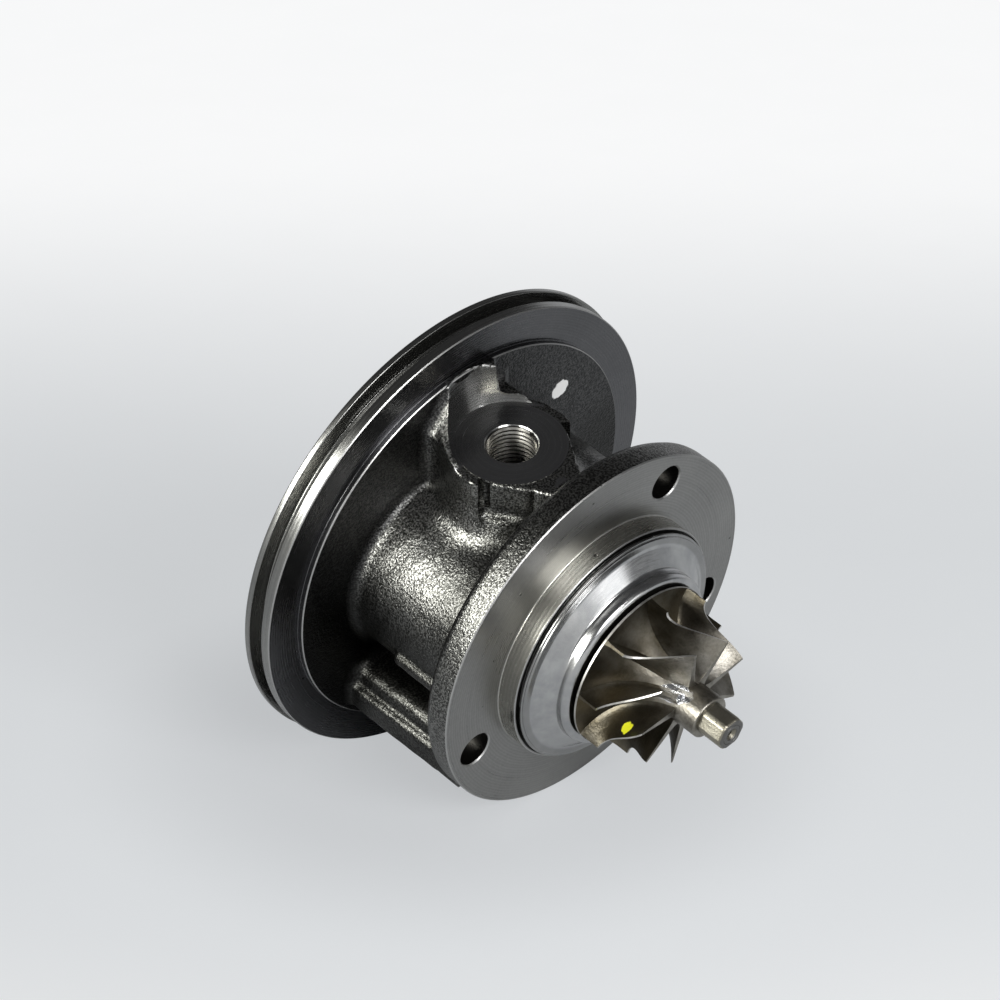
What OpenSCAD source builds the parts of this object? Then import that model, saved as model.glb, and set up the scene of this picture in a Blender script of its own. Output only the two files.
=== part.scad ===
// Turbocharger cartridge: bearing housing, rotor, seals and bearings of a small car turbocharger.
// The rotor axis is Y, with the turbine towards -Y and the compressor towards +Y.
// +Z points up through the oil inlet, and the origin is on the axis at the turbine flange face.

/* [Turbine flange] */
// Outside diameter of the turbine flange
flange_d = 76; // [74:0.5:84]
// Thickness of the turbine flange
flange_t = 6.2; // [5:0.1:8]
// Diameter of the pilot that centres the turbine housing
pilot_d = 50; // [48:0.5:53]
// Length of the pilot in front of the flange face
pilot_l = 4.3; // [3.5:0.1:5]
// Diameter of the circle that the flange bolts lie on
bolt_circle_d = 64; // [63:0.5:66]
// Diameter of the flange bolt holes
bolt_hole_d = 7; // [5.5:0.1:7.4]
// Angle of the upper flange bolt hole, from +X towards +Z
bolt_a_angle = 57; // [54:1:62]
// Angle of the side flange bolt hole, from +X towards +Z
bolt_b_angle = 196; // [193:1:198]
// Angle of the lower flange bolt hole, from +X towards +Z
bolt_c_angle = -22; // [-24:1:-16]

/* [Compressor disc] */
// Distance from the turbine flange face to the ring face of the disc
ring_y = 36.5; // [35:0.1:38]
// Outside diameter of the front rim of the disc
disc_d = 96.7; // [92:0.1:100]
// Thickness of the disc from its ring face to its back face
disc_t = 6; // [5.8:0.1:8]
// Thickness of the front rim
front_rim_t = 2.1; // [1.5:0.1:2.4]
// Thickness of the rear lip
rear_lip_t = 1.3; // [1:0.1:1.8]
// Diameter of the rear lip
rear_lip_d = 98; // [93:0.1:102]
// Depth of the seal groove in the rim
rim_groove_depth = 2.8; // [2:0.1:4]
// Diameter of the raised cast web
web_d = 82.4; // [78:0.2:86]
// Height of the cast web in front of the ring face
web_raise = 1.2; // [0.6:0.1:2]
// Depth of the recess for the compressor wheel in the back face
wheel_recess = 0.4; // [0.2:0.1:0.6]

/* [Cast body] */
// Radius of the rounded sides of the oval body
body_r = 19; // [18.4:0.1:19.8]
// Distance of the rounded sides from the middle plane
body_offset = 9.5; // [9:0.1:10]
// Height of the oval's centre above the rotor axis
body_z = 1; // [0:0.1:2]
// Radius of the cast fillets at the ends of the body
body_fillet = 2.5; // [1.5:0.1:3.5]
// Thickness of the side ribs
rib_t = 2.4; // [1.6:0.1:3]
// Height of the side ribs' middle below the oval's centre
rib_drop = 5.2; // [4.6:0.1:5.6]
// How far the side ribs stand out of the body
rib_out = 0.9; // [0.6:0.1:1.3]
// Distance from the turbine flange face to the end of the side ribs
rib_end_y = 24.5; // [20:0.5:30]

/* [Oil inlet] */
// Distance from the turbine flange face to the oil inlet
inlet_y = 22.5; // [22:0.1:23]
// Height of the oil inlet face above the rotor axis
inlet_z = 32.7; // [32:0.1:34]
// Diameter of the cast boss round the oil inlet
boss_d = 24.6; // [23.6:0.1:25.4]
// Diameter of the spot face
spot_face_d = 22.2; // [21:0.1:23]
// Slope of the spot face's wall, in degrees
spot_face_draft = 13.5; // [0:0.5:20]
// Height of the cast rim that the spot face leaves
boss_rim_h = 0.8; // [0.4:0.1:1.2]
// Bore of the oil inlet thread
inlet_bore_d = 9; // [8:0.1:9.6]
// Depth of the oil inlet thread
inlet_depth = 11; // [9:0.5:12]
// Chamfer at the mouth of the oil inlet thread
inlet_chamfer = 0.7; // [0.3:0.1:1]
// Diameter of the oil drillings to the bearings
gallery_d = 2.4; // [1.6:0.1:3]

/* [Oil drain] */
// Depth of the drain face below the rotor axis
drain_z = 25.5; // [25:0.1:27]
// Width of the drain flange
drain_w = 61; // [59:0.5:63]
// Thickness of the drain flange
drain_t = 5.5; // [5:0.1:6.5]
// Height of the ledge above the drain flange
ledge_h = 4.1; // [3.4:0.1:4.3]
// How far the ledge is set back from the drain flange
ledge_setback = 1.9; // [1:0.1:3]
// Corner radius of the drain flange at the disc
drain_corner_r = 5; // [3:0.5:7]
// Diameter of the drain port
drain_port_d = 15; // [13:0.5:17]
// Distance between the drain bolt holes
drain_bolt_spacing = 41; // [38:0.5:44]
// Bore of the drain bolt threads
drain_bolt_d = 5; // [4:0.1:6]
// Depth of the drain bolt threads
drain_bolt_depth = 8; // [6:0.5:8.5]

/* [Heat shield] */
// Outside diameter of the heat shield
shield_d = 49.3; // [48:0.1:50]
// Thickness of the heat shield
shield_t = 0.8; // [0.5:0.1:1]
// Diameter where the flat rim of the shield ends
shield_rim_d = 44.2; // [43:0.1:45.5]
// Diameter where the cone of the shield ends
shield_cone_d = 36.7; // [36:0.1:37.6]
// Height of the cone of the shield
shield_cone_h = 2.4; // [2:0.1:2.8]
// Height of the bead of the shield above the cone
shield_bead_h = 1.9; // [1.6:0.1:2]
// Radius of the bead
shield_bead_r = 1.5; // [1.2:0.1:1.6]
// Diameter of the hole in the shield
shield_bore_d = 15.4; // [15:0.1:17]

/* [Turbine wheel] */
// Distance from the turbine flange face to the back of the wheel disc
turbine_back = 10.9; // [10.9:0.1:12]
// Largest diameter of the turbine wheel
turbine_d = 33.7; // [32:0.1:35]
// Diameter of the wheel at its outlet
turbine_outlet_d = 26.8; // [25:0.1:28]
// Thickness of the wheel disc at its rim
turbine_disc_t = 0.9; // [0.7:0.1:1.4]
// Diameter of the hub in front of the blades
turbine_hub_d = 8.6; // [8:0.1:9.4]
// Width of the blades at the inlet edge
turbine_inlet_w = 4.4; // [3.6:0.1:5]
// Length of the blades along the rotor axis
turbine_blade_l = 13.1; // [12.6:0.1:14]
// Thickness of the turbine blades at the hub
turbine_root_t = 1.1; // [0.8:0.1:1.4]
// Thickness of the turbine blades at the shroud
turbine_tip_t = 0.5; // [0.4:0.1:0.8]
// Number of turbine blades
turbine_blades = 9; // [8:1:12]
// Angle that each blade turns through towards the outlet
turbine_wrap = 35; // [25:1:42]
// Angle of the first blade's inlet edge
turbine_phase = 44.8; // [0:0.1:90]
// Length of the hub in front of the blades
turbine_hub_l = 5; // [4:0.1:6]
// Width across the flats of the nose
nose_flats = 6.2; // [5.6:0.1:6.6]
// Diameter over the rounded corners of the nose
nose_d = 6.7; // [6.7:0.1:7.4]
// Length of the nose
nose_l = 5.4; // [4:0.1:6]

/* [Rotor] */
// Diameter of the shaft in the journal bearings
journal_d = 6; // [5.4:0.1:6.4]
// Diameter of the shaft's thin end
stub_d = 4.8; // [4:0.1:5]
// Diameter of the shaft's seal hub
seal_hub_d = 12.6; // [12:0.1:13]
// Outside diameter of the thrust washer and the collar's flange
thrust_washer_d = 14; // [13:0.1:15]
// Thickness of the thrust washer
thrust_washer_t = 1.8; // [1.2:0.1:2]
// Thickness of the flange of the thrust collar
collar_flange_t = 1.6; // [1.2:0.1:2]
// Diameter of the sleeve of the thrust collar
collar_d = 10; // [9.4:0.1:10.4]
// Diameter of the neck of the thrust collar
collar_neck_d = 7.6; // [7:0.1:8.4]

/* [Compressor wheel] */
// Largest diameter of the compressor wheel
compressor_d = 39; // [37:0.1:41]
// Diameter of the wheel at its inlet
compressor_inlet_d = 27.6; // [25:0.1:29]
// Thickness of the wheel disc at its rim
compressor_disc_t = 0.9; // [0.7:0.1:1.4]
// Width of the blades at the outlet edge
compressor_outlet_w = 2.6; // [2:0.1:3.4]
// Diameter of the hub at the inlet
compressor_hub_d = 11; // [10:0.1:12]
// Thickness of the compressor blades at the hub
compressor_root_t = 0.9; // [0.7:0.1:1.2]
// Thickness of the compressor blades at the shroud
compressor_tip_t = 0.5; // [0.4:0.1:0.7]
// Number of full blades, with a splitter blade between each two
compressor_blades = 6; // [5:1:7]
// Angle that each blade turns through
compressor_wrap = 52; // [35:1:60]
// Length of the wheel's nose beyond the blades
compressor_nose_l = 1.8; // [1:0.1:3]
// Width across the flats of the shaft nut
nut_flats = 8; // [7.6:0.1:9]
// Thickness of the shaft nut
nut_t = 4; // [3:0.1:5]
// Length of the shaft that shows beyond the nut
shaft_end_l = 1.4; // [1:0.1:2]

/* [Bearings and seals] */
// Outside diameter of the floating journal bearings
bush_d = 10; // [9.4:0.1:10.4]
// Length of the floating journal bearings
bush_l = 6.4; // [5:0.1:6.8]
// Thickness of the bearing snap rings along the axis
snap_ring_t = 1; // [0.8:0.1:1.1]
// Radial width of the bearing snap rings
snap_ring_w = 1.5; // [1.3:0.1:1.6]
// Depth of the snap ring grooves in the bearing bore
snap_groove_depth = 0.8; // [0.6:0.1:1]
// Outside diameter of the thrust bearing
thrust_bearing_d = 30; // [29:0.1:31]
// Thickness of the thrust bearing
thrust_bearing_t = 2.6; // [2:0.1:2.8]
// Diameter of the thrust bearing pins
thrust_pin_d = 2; // [1.6:0.1:2.4]
// Thickness of the oil baffle
baffle_t = 0.6; // [0.4:0.1:0.8]
// Diameter of the hole in the oil baffle
baffle_bore_d = 17; // [16.4:0.1:18]
// Diameter of the seal plate
seal_plate_d = 34; // [33.6:0.1:35]
// Thickness of the seal plate's flange
seal_plate_t = 3; // [2.6:0.1:3]
// Section of the O-ring on the seal plate
o_ring_t = 1.5; // [1.2:0.1:1.6]
// Thickness of the circlip that holds the seal plate
circlip_t = 1.1; // [0.9:0.1:1.2]
// Thickness of the piston rings along the axis
piston_ring_t = 1.1; // [0.9:0.1:1.2]
// Radial width of the piston rings
piston_ring_w = 1; // [0.8:0.1:1.1]

/* [Clearances] */
// Radial clearance of the shaft in its bearings
journal_clearance = 0.03; // [0.02:0.01:0.06]
// Radial clearance of the bearings in the housing
bush_clearance = 0.05; // [0.03:0.01:0.08]
// Clearance of pieces that are assembled by hand
slide_clearance = 0.05; // [0.02:0.01:0.1]
// Radial clearance of the pieces seated on the shaft's thin end
seat_clearance = 0.01; // [0.01:0.01:0.04]
// Clearance between the rotor and the fixed seals
seal_clearance = 0.3; // [0.25:0.01:0.35]
// End float of the rotor at the thrust bearing
end_float = 0.1; // [0.05:0.01:0.15]

/* [Hidden] */
$fn = 96;
overlap = 0.6;
edge_chamfer = 0.4;
pilot_chamfer = 0.6;
rear_chamfer = 1;
hole_chamfer = 0.5;
past = 1;

// Radii
flange_r = flange_d / 2;
pilot_r = pilot_d / 2;
disc_r = disc_d / 2;
web_r = web_d / 2;
lip_r = rear_lip_d / 2;

// Places along the rotor axis
web_y = ring_y - web_raise;
back_y = ring_y + disc_t;
groove_y0 = ring_y + front_rim_t;
groove_y1 = back_y - rear_lip_t;

// Turbine end of the housing: the shield stands on a land that is smaller than the pilot
land_h = 0.5;
land_r = pilot_r - 1.8;
shield_seat = -pilot_l - land_h;
shield_face = shield_seat - shield_t;
shield_flat = shield_face - shield_cone_h - shield_bead_h;
shield_gap = 0.5;
seal_nose_y = shield_flat + shield_t + shield_gap;
seal_nose_r = shield_bore_d / 2 + 2;
recess_r = shield_rim_d / 2 - 1.6;
recess_depth = 1.8;
recess_y = -pilot_l + recess_depth;
seal_bore_d = seal_hub_d + 2 * seal_clearance;
chamber_r = 10.5;
chamber_wall = 1.8;
chamber_y0 = recess_y + chamber_wall;
chamber_y1 = 3.2;

// Bearing bore, from the turbine end
bush_gap = 0.4;
bush_hole_d = 1.4;
ring_side = 0.05;
ring_floor = 0.2;
ring_slot = 0.4;
waist_depth = 0.2;
ring_land = 0.8;
relief_depth = 1.5;
ring_groove_w = snap_ring_t + 2 * ring_side;
snap_slot = 3;
bearing_bore_d = bush_d + 2 * bush_clearance;
outer_ring_y = chamber_y1 + ring_land;
turbine_bush_y = outer_ring_y + ring_groove_w + bush_gap;
inner_ring_y = turbine_bush_y + bush_l + bush_gap;
relief_y0 = inner_ring_y + ring_groove_w + ring_land;

// Thrust bearing and seal plate, from the compressor end
thrust_sink = 4.3;
washer_side = 2;
washer_gap = 0.5;
circlip_sink = 0.6;
collar_proud = 0.8;
thrust_pin_inset = 2.6;
thrust_y = ring_y - thrust_sink;
washer_y = thrust_y - end_float - thrust_washer_t;
pocket_d = thrust_washer_d + 2 * washer_side;
pocket_y = washer_y - washer_gap;
compressor_bush_y = pocket_y - bush_gap - bush_l;
compressor_ring_y = compressor_bush_y - bush_gap - ring_groove_w;
relief_y1 = compressor_ring_y - ring_land;
relief_d = bearing_bore_d + 2 * relief_depth;
baffle_y = thrust_y + thrust_bearing_t;
seal_skirt_y = baffle_y + baffle_t;
seal_seat_y = back_y - wheel_recess - circlip_t - circlip_sink - seal_plate_t;
circlip_y = seal_seat_y + seal_plate_t;
circlip_groove_depth = 0.8;
seal_plate_bore_d = collar_d + 2 * seal_clearance;
collar_flange_y = baffle_y + end_float;
collar_end_y = back_y + collar_proud;
thrust_bore_d = collar_neck_d + 2 * seal_clearance;
thrust_pin_circle_r = thrust_bearing_d / 2 - thrust_pin_inset;
thrust_pin_depth = 2.5;
thrust_pin_angles = [25, 155];
thrust_gap_w = 10;
baffle_gap_w = 8;
drain_gap_land = 4;
pad_groove_w = 1;
pad_groove_depth = 0.4;

// Wheels
turbine_face = -turbine_back - turbine_disc_t;
turbine_hub_arc = (turbine_d - turbine_hub_d) / 2;
turbine_outlet_y = turbine_face - turbine_blade_l;
turbine_hub_y = turbine_face - turbine_hub_arc - turbine_hub_l;
nose_y = turbine_hub_y - nose_l;
centre_r = 1.2;
weld_step = 1.3;
seal_hub_inset = 0.6;
weld_y = weld_step - turbine_back;
seal_hub_end_y = chamber_y0 - seal_hub_inset;
turbine_seal_ring_y = (weld_y + seal_hub_end_y) / 2 - piston_ring_t / 2;
compressor_face = collar_end_y + compressor_disc_t;
compressor_hub_arc = (compressor_d - compressor_hub_d) / 2;
compressor_inlet_y = compressor_face + compressor_hub_arc;
nut_y = compressor_inlet_y + compressor_nose_l;
nut_washer = 0.8;
stub_bore_d = stub_d + 2 * seat_clearance;
wheel_gap = 1.2;
splitter_share = 0.72;
shaft_end_y = nut_y + nut_t + shaft_end_l;
compressor_seal_ring_y = seal_seat_y + seal_plate_t / 2 - piston_ring_t / 2;

// Drain and its core
drain_y = (flange_t + web_y) / 2;
drain_sink = 2;
drain_draft = 0.7;
core_step = 1.2;
core_floor = 3.2;
core_top = core_step - chamber_r;
core_bottom = drain_t - drain_z + core_floor;
core_w = 19;
slot_w = 8;
thrust_slot_w = 12;

// Turns a profile of radius and place along the axis about the rotor axis
module turned() {
    rotate([-90, 0, 0]) rotate_extrude() children();
}

// Round bar along the rotor axis
module rod(d, y0, y1) {
    translate([0, y0, 0]) rotate([-90, 0, 0]) cylinder(d = d, h = y1 - y0);
}

// Plain ring along the rotor axis
module ring(d_out, d_in, y0, y1) {
    turned() translate([d_in / 2, y0]) square([(d_out - d_in) / 2, y1 - y0]);
}

// Outline of X and Z drawn out along the rotor axis
module along_axis(y0, y1) {
    translate([0, y1, 0]) rotate([90, 0, 0]) linear_extrude(y1 - y0) children();
}

// Place on the turbine flange at a bolt hole
module at_bolt(angle) {
    translate([bolt_circle_d / 2 * cos(angle), 0, bolt_circle_d / 2 * sin(angle)]) children();
}

// Places of the two thrust bearing pins
module at_pins() {
    for (angle = thrust_pin_angles)
        translate([thrust_pin_circle_r * cos(angle), 0, thrust_pin_circle_r * sin(angle)]) children();
}

// Ring with a slot, sprung into a groove
module split_ring(d_out, d_in, y0, y1, slot, angle) {
    difference() {
        ring(d_out, d_in, y0, y1);
        rotate([0, -angle, 0]) translate([0, y0 - past, -slot / 2]) cube([d_out, y1 - y0 + 2 * past, slot]);
    }
}

// Meridian of a wheel blade at a share of its length, from the outer edge at 0 to the small end at 1.
// Each point is a radius and a place along the axis.
function hub_point(s, rim_r, arc, face_y, dir) =
    [rim_r - arc * sin(90 * s), face_y + dir * arc * (1 - cos(90 * s))];
function shroud_point(s, rim_r, small_r, edge_w, length, face_y, dir) = let (
    scoop = 1 - pow(1 - s, 1.5),
    reach = edge_w + (length - edge_w) * (1 - cos(90 * s)))
    [rim_r - (rim_r - small_r) * sin(90 * scoop), face_y + dir * reach];
function polar(p, angle) = [p[0] * cos(angle), p[1], p[0] * sin(angle)];

// One curved blade between the hub arc and the shroud line, thick at the hub and thin at the shroud.
// It thickens towards the small end, where it runs across the axis. stop is the share of the length that
// the blade reaches from the outer edge, less than 1 on a splitter.
module blade(rim_r, small_r, arc, edge_w, length, face_y, dir, wrap, root_t, tip_t, stop = 1) {
    steps = 10;
    embed = 0.5;
    thicken = 0.7;
    points = [for (i = [0:steps]) let (
        s = stop * i / steps,
        hub = hub_point(s, rim_r, arc + embed, face_y - dir * embed, dir),
        tip = shroud_point(s, rim_r, small_r, edge_w, length, face_y, dir),
        turn = wrap * pow(s, 2),
        widen = 1 + thicken * pow(s, 2),
        hub_half = root_t * widen / 2 / hub[0] * 180 / PI,
        tip_half = tip_t * widen / 2 / tip[0] * 180 / PI)
        each [polar(hub, turn - hub_half), polar(tip, turn - tip_half),
            polar(tip, turn + tip_half), polar(hub, turn + hub_half)]];
    last = 4 * steps;
    sides = [for (i = [0:steps - 1], k = [0:3]) let (
        a = 4 * i + k,
        b = 4 * i + (k + 1) % 4,
        c = b + 4,
        d = a + 4) each [[a, b, c], [a, c, d]]];
    ends = [[2, 1, 0], [3, 2, 0], [last, last + 1, last + 2], [last, last + 2, last + 3]];
    faces = concat(sides, ends);
    polyhedron(points, dir > 0 ? faces : [for (face = faces) reversed(face)]);
}

// Bearing housing: turned flange, pilot, web and disc
module housing_profile() {
    polygon([[0, 0], [flange_r - edge_chamfer, 0], [flange_r, edge_chamfer],
        [flange_r, flange_t - rear_chamfer], [flange_r - rear_chamfer, flange_t], [0, flange_t]]);
    polygon([[0, overlap], [0, -pilot_l], [pilot_r - pilot_chamfer, -pilot_l],
        [pilot_r, pilot_chamfer - pilot_l], [pilot_r, overlap]]);
    translate([0, shield_seat]) square([land_r, land_h + overlap]);
    translate([0, seal_nose_y]) square([seal_nose_r, -seal_nose_y]);
    polygon([[0, web_y], [web_r - edge_chamfer, web_y], [web_r, web_y + edge_chamfer], [web_r, ring_y],
        [disc_r - edge_chamfer, ring_y], [disc_r, ring_y + edge_chamfer], [disc_r, groove_y0],
        [disc_r - rim_groove_depth, groove_y0], [disc_r - rim_groove_depth, groove_y1], [lip_r, groove_y1],
        [lip_r, back_y], [0, back_y]]);
}

module body_outline() {
    translate([0, body_z]) union() {
        for (side = [-1, 1]) translate([side * body_offset, 0]) circle(body_r);
        translate([-body_offset, -body_r]) square([2 * body_offset, 2 * body_r]);
    }
}

// Concave fillet against a wall at 0, beside a surface at a distance from the turning axis
module fillet_profile(distance) {
    difference() {
        translate([distance - overlap, -overlap]) square([body_fillet + overlap, body_fillet + overlap]);
        translate([distance + body_fillet, body_fillet]) circle(body_fillet);
    }
}

// Fillets round the oval body at one of its ends, towards +Y or, with way 1, towards -Y
module body_fillets(wall_y, way) {
    for (side = [-1, 1]) {
        translate([side * body_offset, wall_y, body_z]) mirror([0, way, 0]) turned() fillet_profile(body_r);
        translate([-body_offset, wall_y, body_z]) mirror([0, way, 0]) mirror([0, 0, side]) rotate([90, 0, 90])
            linear_extrude(2 * body_offset) rotate(90) mirror([0, 1]) fillet_profile(body_r);
    }
}

// Column of the oil inlet: a flat facet and a cast notch on each side, a neck to the flange, a flared foot
module inlet_boss() {
    heel_in = 1.9;
    heel_drop = 3.5;
    toe_in = 7.1;
    toe_drop = 11.9;
    heel_x = boss_d / 2 - heel_in;
    heel_y = inlet_y - heel_drop;
    toe_x = boss_d / 2 - toe_in;
    toe_y = inlet_y - toe_drop;
    neck_y = flange_t - overlap;
    notch_w = 1.2;
    notch_h = 5.5;
    flare_out = 4.5;
    flare_h = 9;
    difference() {
        union() {
            translate([0, inlet_y, 0]) cylinder(d = boss_d, h = inlet_z + boss_rim_h);
            linear_extrude(inlet_z) polygon([[-heel_x, heel_y], [-toe_x, toe_y], [-toe_x, neck_y],
                [toe_x, neck_y], [toe_x, toe_y], [heel_x, heel_y]]);
        }
        for (side = [0, 1]) mirror([side, 0, 0]) {
            translate([0, 0, -past]) linear_extrude(inlet_z + boss_rim_h + 2 * past)
                polygon([[heel_x, heel_y], [toe_x, toe_y], [toe_x + boss_d / 2, toe_y],
                    [heel_x + boss_d / 4, heel_y]]);
            translate([heel_x, heel_y, inlet_z - notch_h]) rotate([0, 0, 45])
                translate([-notch_w / 2, -notch_w / 2, 0]) cube([notch_w, notch_w, 2 * notch_h]);
        }
    }
    translate([0, inlet_y, body_z + body_r - flare_h / 2])
        cylinder(r1 = boss_d / 2 + flare_out, r2 = boss_d / 2 - edge_chamfer, h = flare_h);
}

// Cast pad between the inlet boss and the web, sloping on one side and stepped on the other
module inlet_pad() {
    tall_in = 4.6;
    left_in = 1.6;
    tall_x = spot_face_d / 2 - tall_in;
    pad_left = spot_face_d / 2 - left_in;
    slope_x = 2.5;
    knee_x = 6.5;
    knee_h = 2.6;
    step_w = 3.2;
    pad_back = 6;
    along_axis(inlet_y + pad_back, web_y + overlap) intersection() {
        circle(web_r - edge_chamfer);
        union() {
            polygon([[-pad_left, 0], [-pad_left, inlet_z], [-knee_x, inlet_z + knee_h], [-slope_x, web_r],
                [tall_x, web_r], [tall_x, 0]]);
            square([tall_x + step_w, inlet_z + 2 * boss_rim_h]);
        }
    }
}

module side_ribs() {
    rib_x = body_offset + sqrt(pow(body_r, 2) - pow(rib_drop, 2));
    root = 3;
    along_axis(flange_t - overlap, rib_end_y)
        for (side = [0, 1]) mirror([side, 0])
            translate([rib_x - root, body_z - rib_drop - rib_t / 2]) square([root + rib_out, rib_t]);
}

// Plate from the turbine flange to the disc, seen from below, with round corners where it meets the disc
module drain_plate(inset) {
    half_w = drain_w / 2 - inset;
    y0 = flange_t - overlap;
    y1 = web_y + drain_sink;
    corner_x = half_w - drain_corner_r;
    corner_y = y1 - drain_corner_r;
    for (side = [-1, 1]) translate([side * corner_x, corner_y]) circle(drain_corner_r);
    polygon([[drain_draft - half_w, y0], [half_w - drain_draft, y0], [half_w, corner_y],
        [-half_w, corner_y]]);
    translate([-corner_x, y0]) square([2 * corner_x, y1 - y0]);
}

module drain_flange() {
    translate([0, 0, -drain_z]) {
        linear_extrude(drain_t) drain_plate(0);
        linear_extrude(drain_t + ledge_h) drain_plate(ledge_setback);
    }
}

// Bores for the rotor, its bearings and seals
module housing_bores() {
    rod(seal_bore_d, seal_nose_y - past, chamber_y0 + past);
    rod(2 * chamber_r, chamber_y0, chamber_y1);
    rod(bearing_bore_d, chamber_y1 - past, pocket_y + past);
    rod(relief_d, relief_y0, relief_y1);
    for (y = [outer_ring_y, inner_ring_y, compressor_ring_y])
        rod(bearing_bore_d + 2 * snap_groove_depth, y, y + ring_groove_w);
    rod(pocket_d, pocket_y, thrust_y + past);
    rod(thrust_bearing_d + 2 * slide_clearance, thrust_y, back_y);
    rod(seal_plate_d + 2 * slide_clearance, seal_seat_y, back_y + past);
    rod(seal_plate_d + 2 * circlip_groove_depth, circlip_y, circlip_y + circlip_t + 2 * ring_side);
    rod(compressor_d + 2 * wheel_gap, back_y - wheel_recess, back_y + past);
    at_pins() rod(thrust_pin_d, thrust_y - thrust_pin_depth, thrust_y + past);
}

// Drain core below the bearings, open to the chambers at both ends and to the drain port
module drain_core() {
    core_h = core_top - core_bottom;
    slot_y0 = relief_y0 + edge_chamfer;
    slot_y1 = relief_y1 - edge_chamfer;
    thrust_end = thrust_y + thrust_bearing_t / 2;
    translate([-core_w / 2, chamber_y0 + edge_chamfer, core_bottom])
        cube([core_w, pocket_y - chamber_y0, core_h]);
    translate([-slot_w / 2, slot_y0, core_top - past])
        cube([slot_w, slot_y1 - slot_y0, past - core_top - journal_d / 2]);
    translate([-thrust_slot_w / 2, pocket_y - past, core_bottom])
        cube([thrust_slot_w, thrust_end - pocket_y + past, core_h]);
    translate([0, drain_y, -drain_z - past]) cylinder(d = drain_port_d, h = drain_z + core_bottom + 2 * past);
}

// Oil drilling from the foot of the inlet to a journal bearing
module gallery(bearing_y) {
    foot = [0, inlet_y, inlet_z - inlet_depth];
    run = bearing_y - foot[1];
    drop = foot[2];
    translate(foot) rotate([-atan2(run, drop), 0, 0]) translate([0, 0, -norm([run, drop])])
        cylinder(d = gallery_d, h = norm([run, drop]) + past);
}

module inlet_cuts() {
    wall_h = web_r - inlet_z + past;
    translate([0, inlet_y, inlet_z])
        cylinder(d1 = spot_face_d, d2 = spot_face_d + 2 * wall_h * tan(spot_face_draft), h = wall_h);
    translate([0, inlet_y, inlet_z - inlet_depth]) cylinder(d = inlet_bore_d, h = inlet_depth + past);
    translate([0, inlet_y, inlet_z - inlet_chamfer])
        cylinder(d1 = inlet_bore_d, d2 = inlet_bore_d + 4 * inlet_chamfer, h = 2 * inlet_chamfer);
    gallery(turbine_bush_y + bush_l / 2);
    gallery(compressor_bush_y + bush_l / 2);
}

module flange_holes() {
    for (angle = [bolt_a_angle, bolt_b_angle, bolt_c_angle]) at_bolt(angle) {
        rod(bolt_hole_d, -past, flange_t + past);
        turned() polygon([[0, -past], [bolt_hole_d / 2 + hole_chamfer + past, -past],
            [bolt_hole_d / 2, hole_chamfer], [0, hole_chamfer]]);
    }
}

module drain_holes() {
    for (side = [-1, 1]) translate([side * drain_bolt_spacing / 2, drain_y, -drain_z - past])
        cylinder(d = drain_bolt_d, h = drain_bolt_depth + past);
}

module bearing_housing() {
    color("dimgray") difference() {
        union() {
            turned() housing_profile();
            along_axis(flange_t - overlap, web_y + overlap) body_outline();
            body_fillets(flange_t, 0);
            body_fillets(web_y, 1);
            inlet_boss();
            inlet_pad();
            side_ribs();
            drain_flange();
        }
        ring(2 * recess_r, 2 * seal_nose_r, shield_flat, recess_y);
        housing_bores();
        drain_core();
        inlet_cuts();
        flange_holes();
        drain_holes();
    }
}

// Stamped heat shield: flat behind the wheel, rounded bead, cone and flat rim.
// The line lies a distance behind the front of the sheet, each point a radius and a place along the axis.
function shield_line(behind) = let (
    rim_r = shield_rim_d / 2,
    cone_r = shield_cone_d / 2,
    cone_angle = atan2(shield_cone_h, rim_r - cone_r),
    bead_r = shield_bead_r - behind,
    bead_centre = [cone_r - shield_bead_r, shield_flat + shield_bead_r])
    concat([[shield_bore_d / 2, shield_flat + behind]],
        [for (a = [-90:15:0]) bead_centre + bead_r * [cos(a), sin(a)]],
        [[cone_r - behind, shield_face - shield_cone_h + behind * tan((90 - cone_angle) / 2)],
            [rim_r - behind * tan(cone_angle / 2), shield_face + behind],
            [shield_d / 2, shield_face + behind]]);
function reversed(points) = [for (i = [len(points) - 1:-1:0]) points[i]];

module heat_shield() {
    color("silver") turned() polygon(concat(shield_line(0), reversed(shield_line(shield_t))));
}

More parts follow.
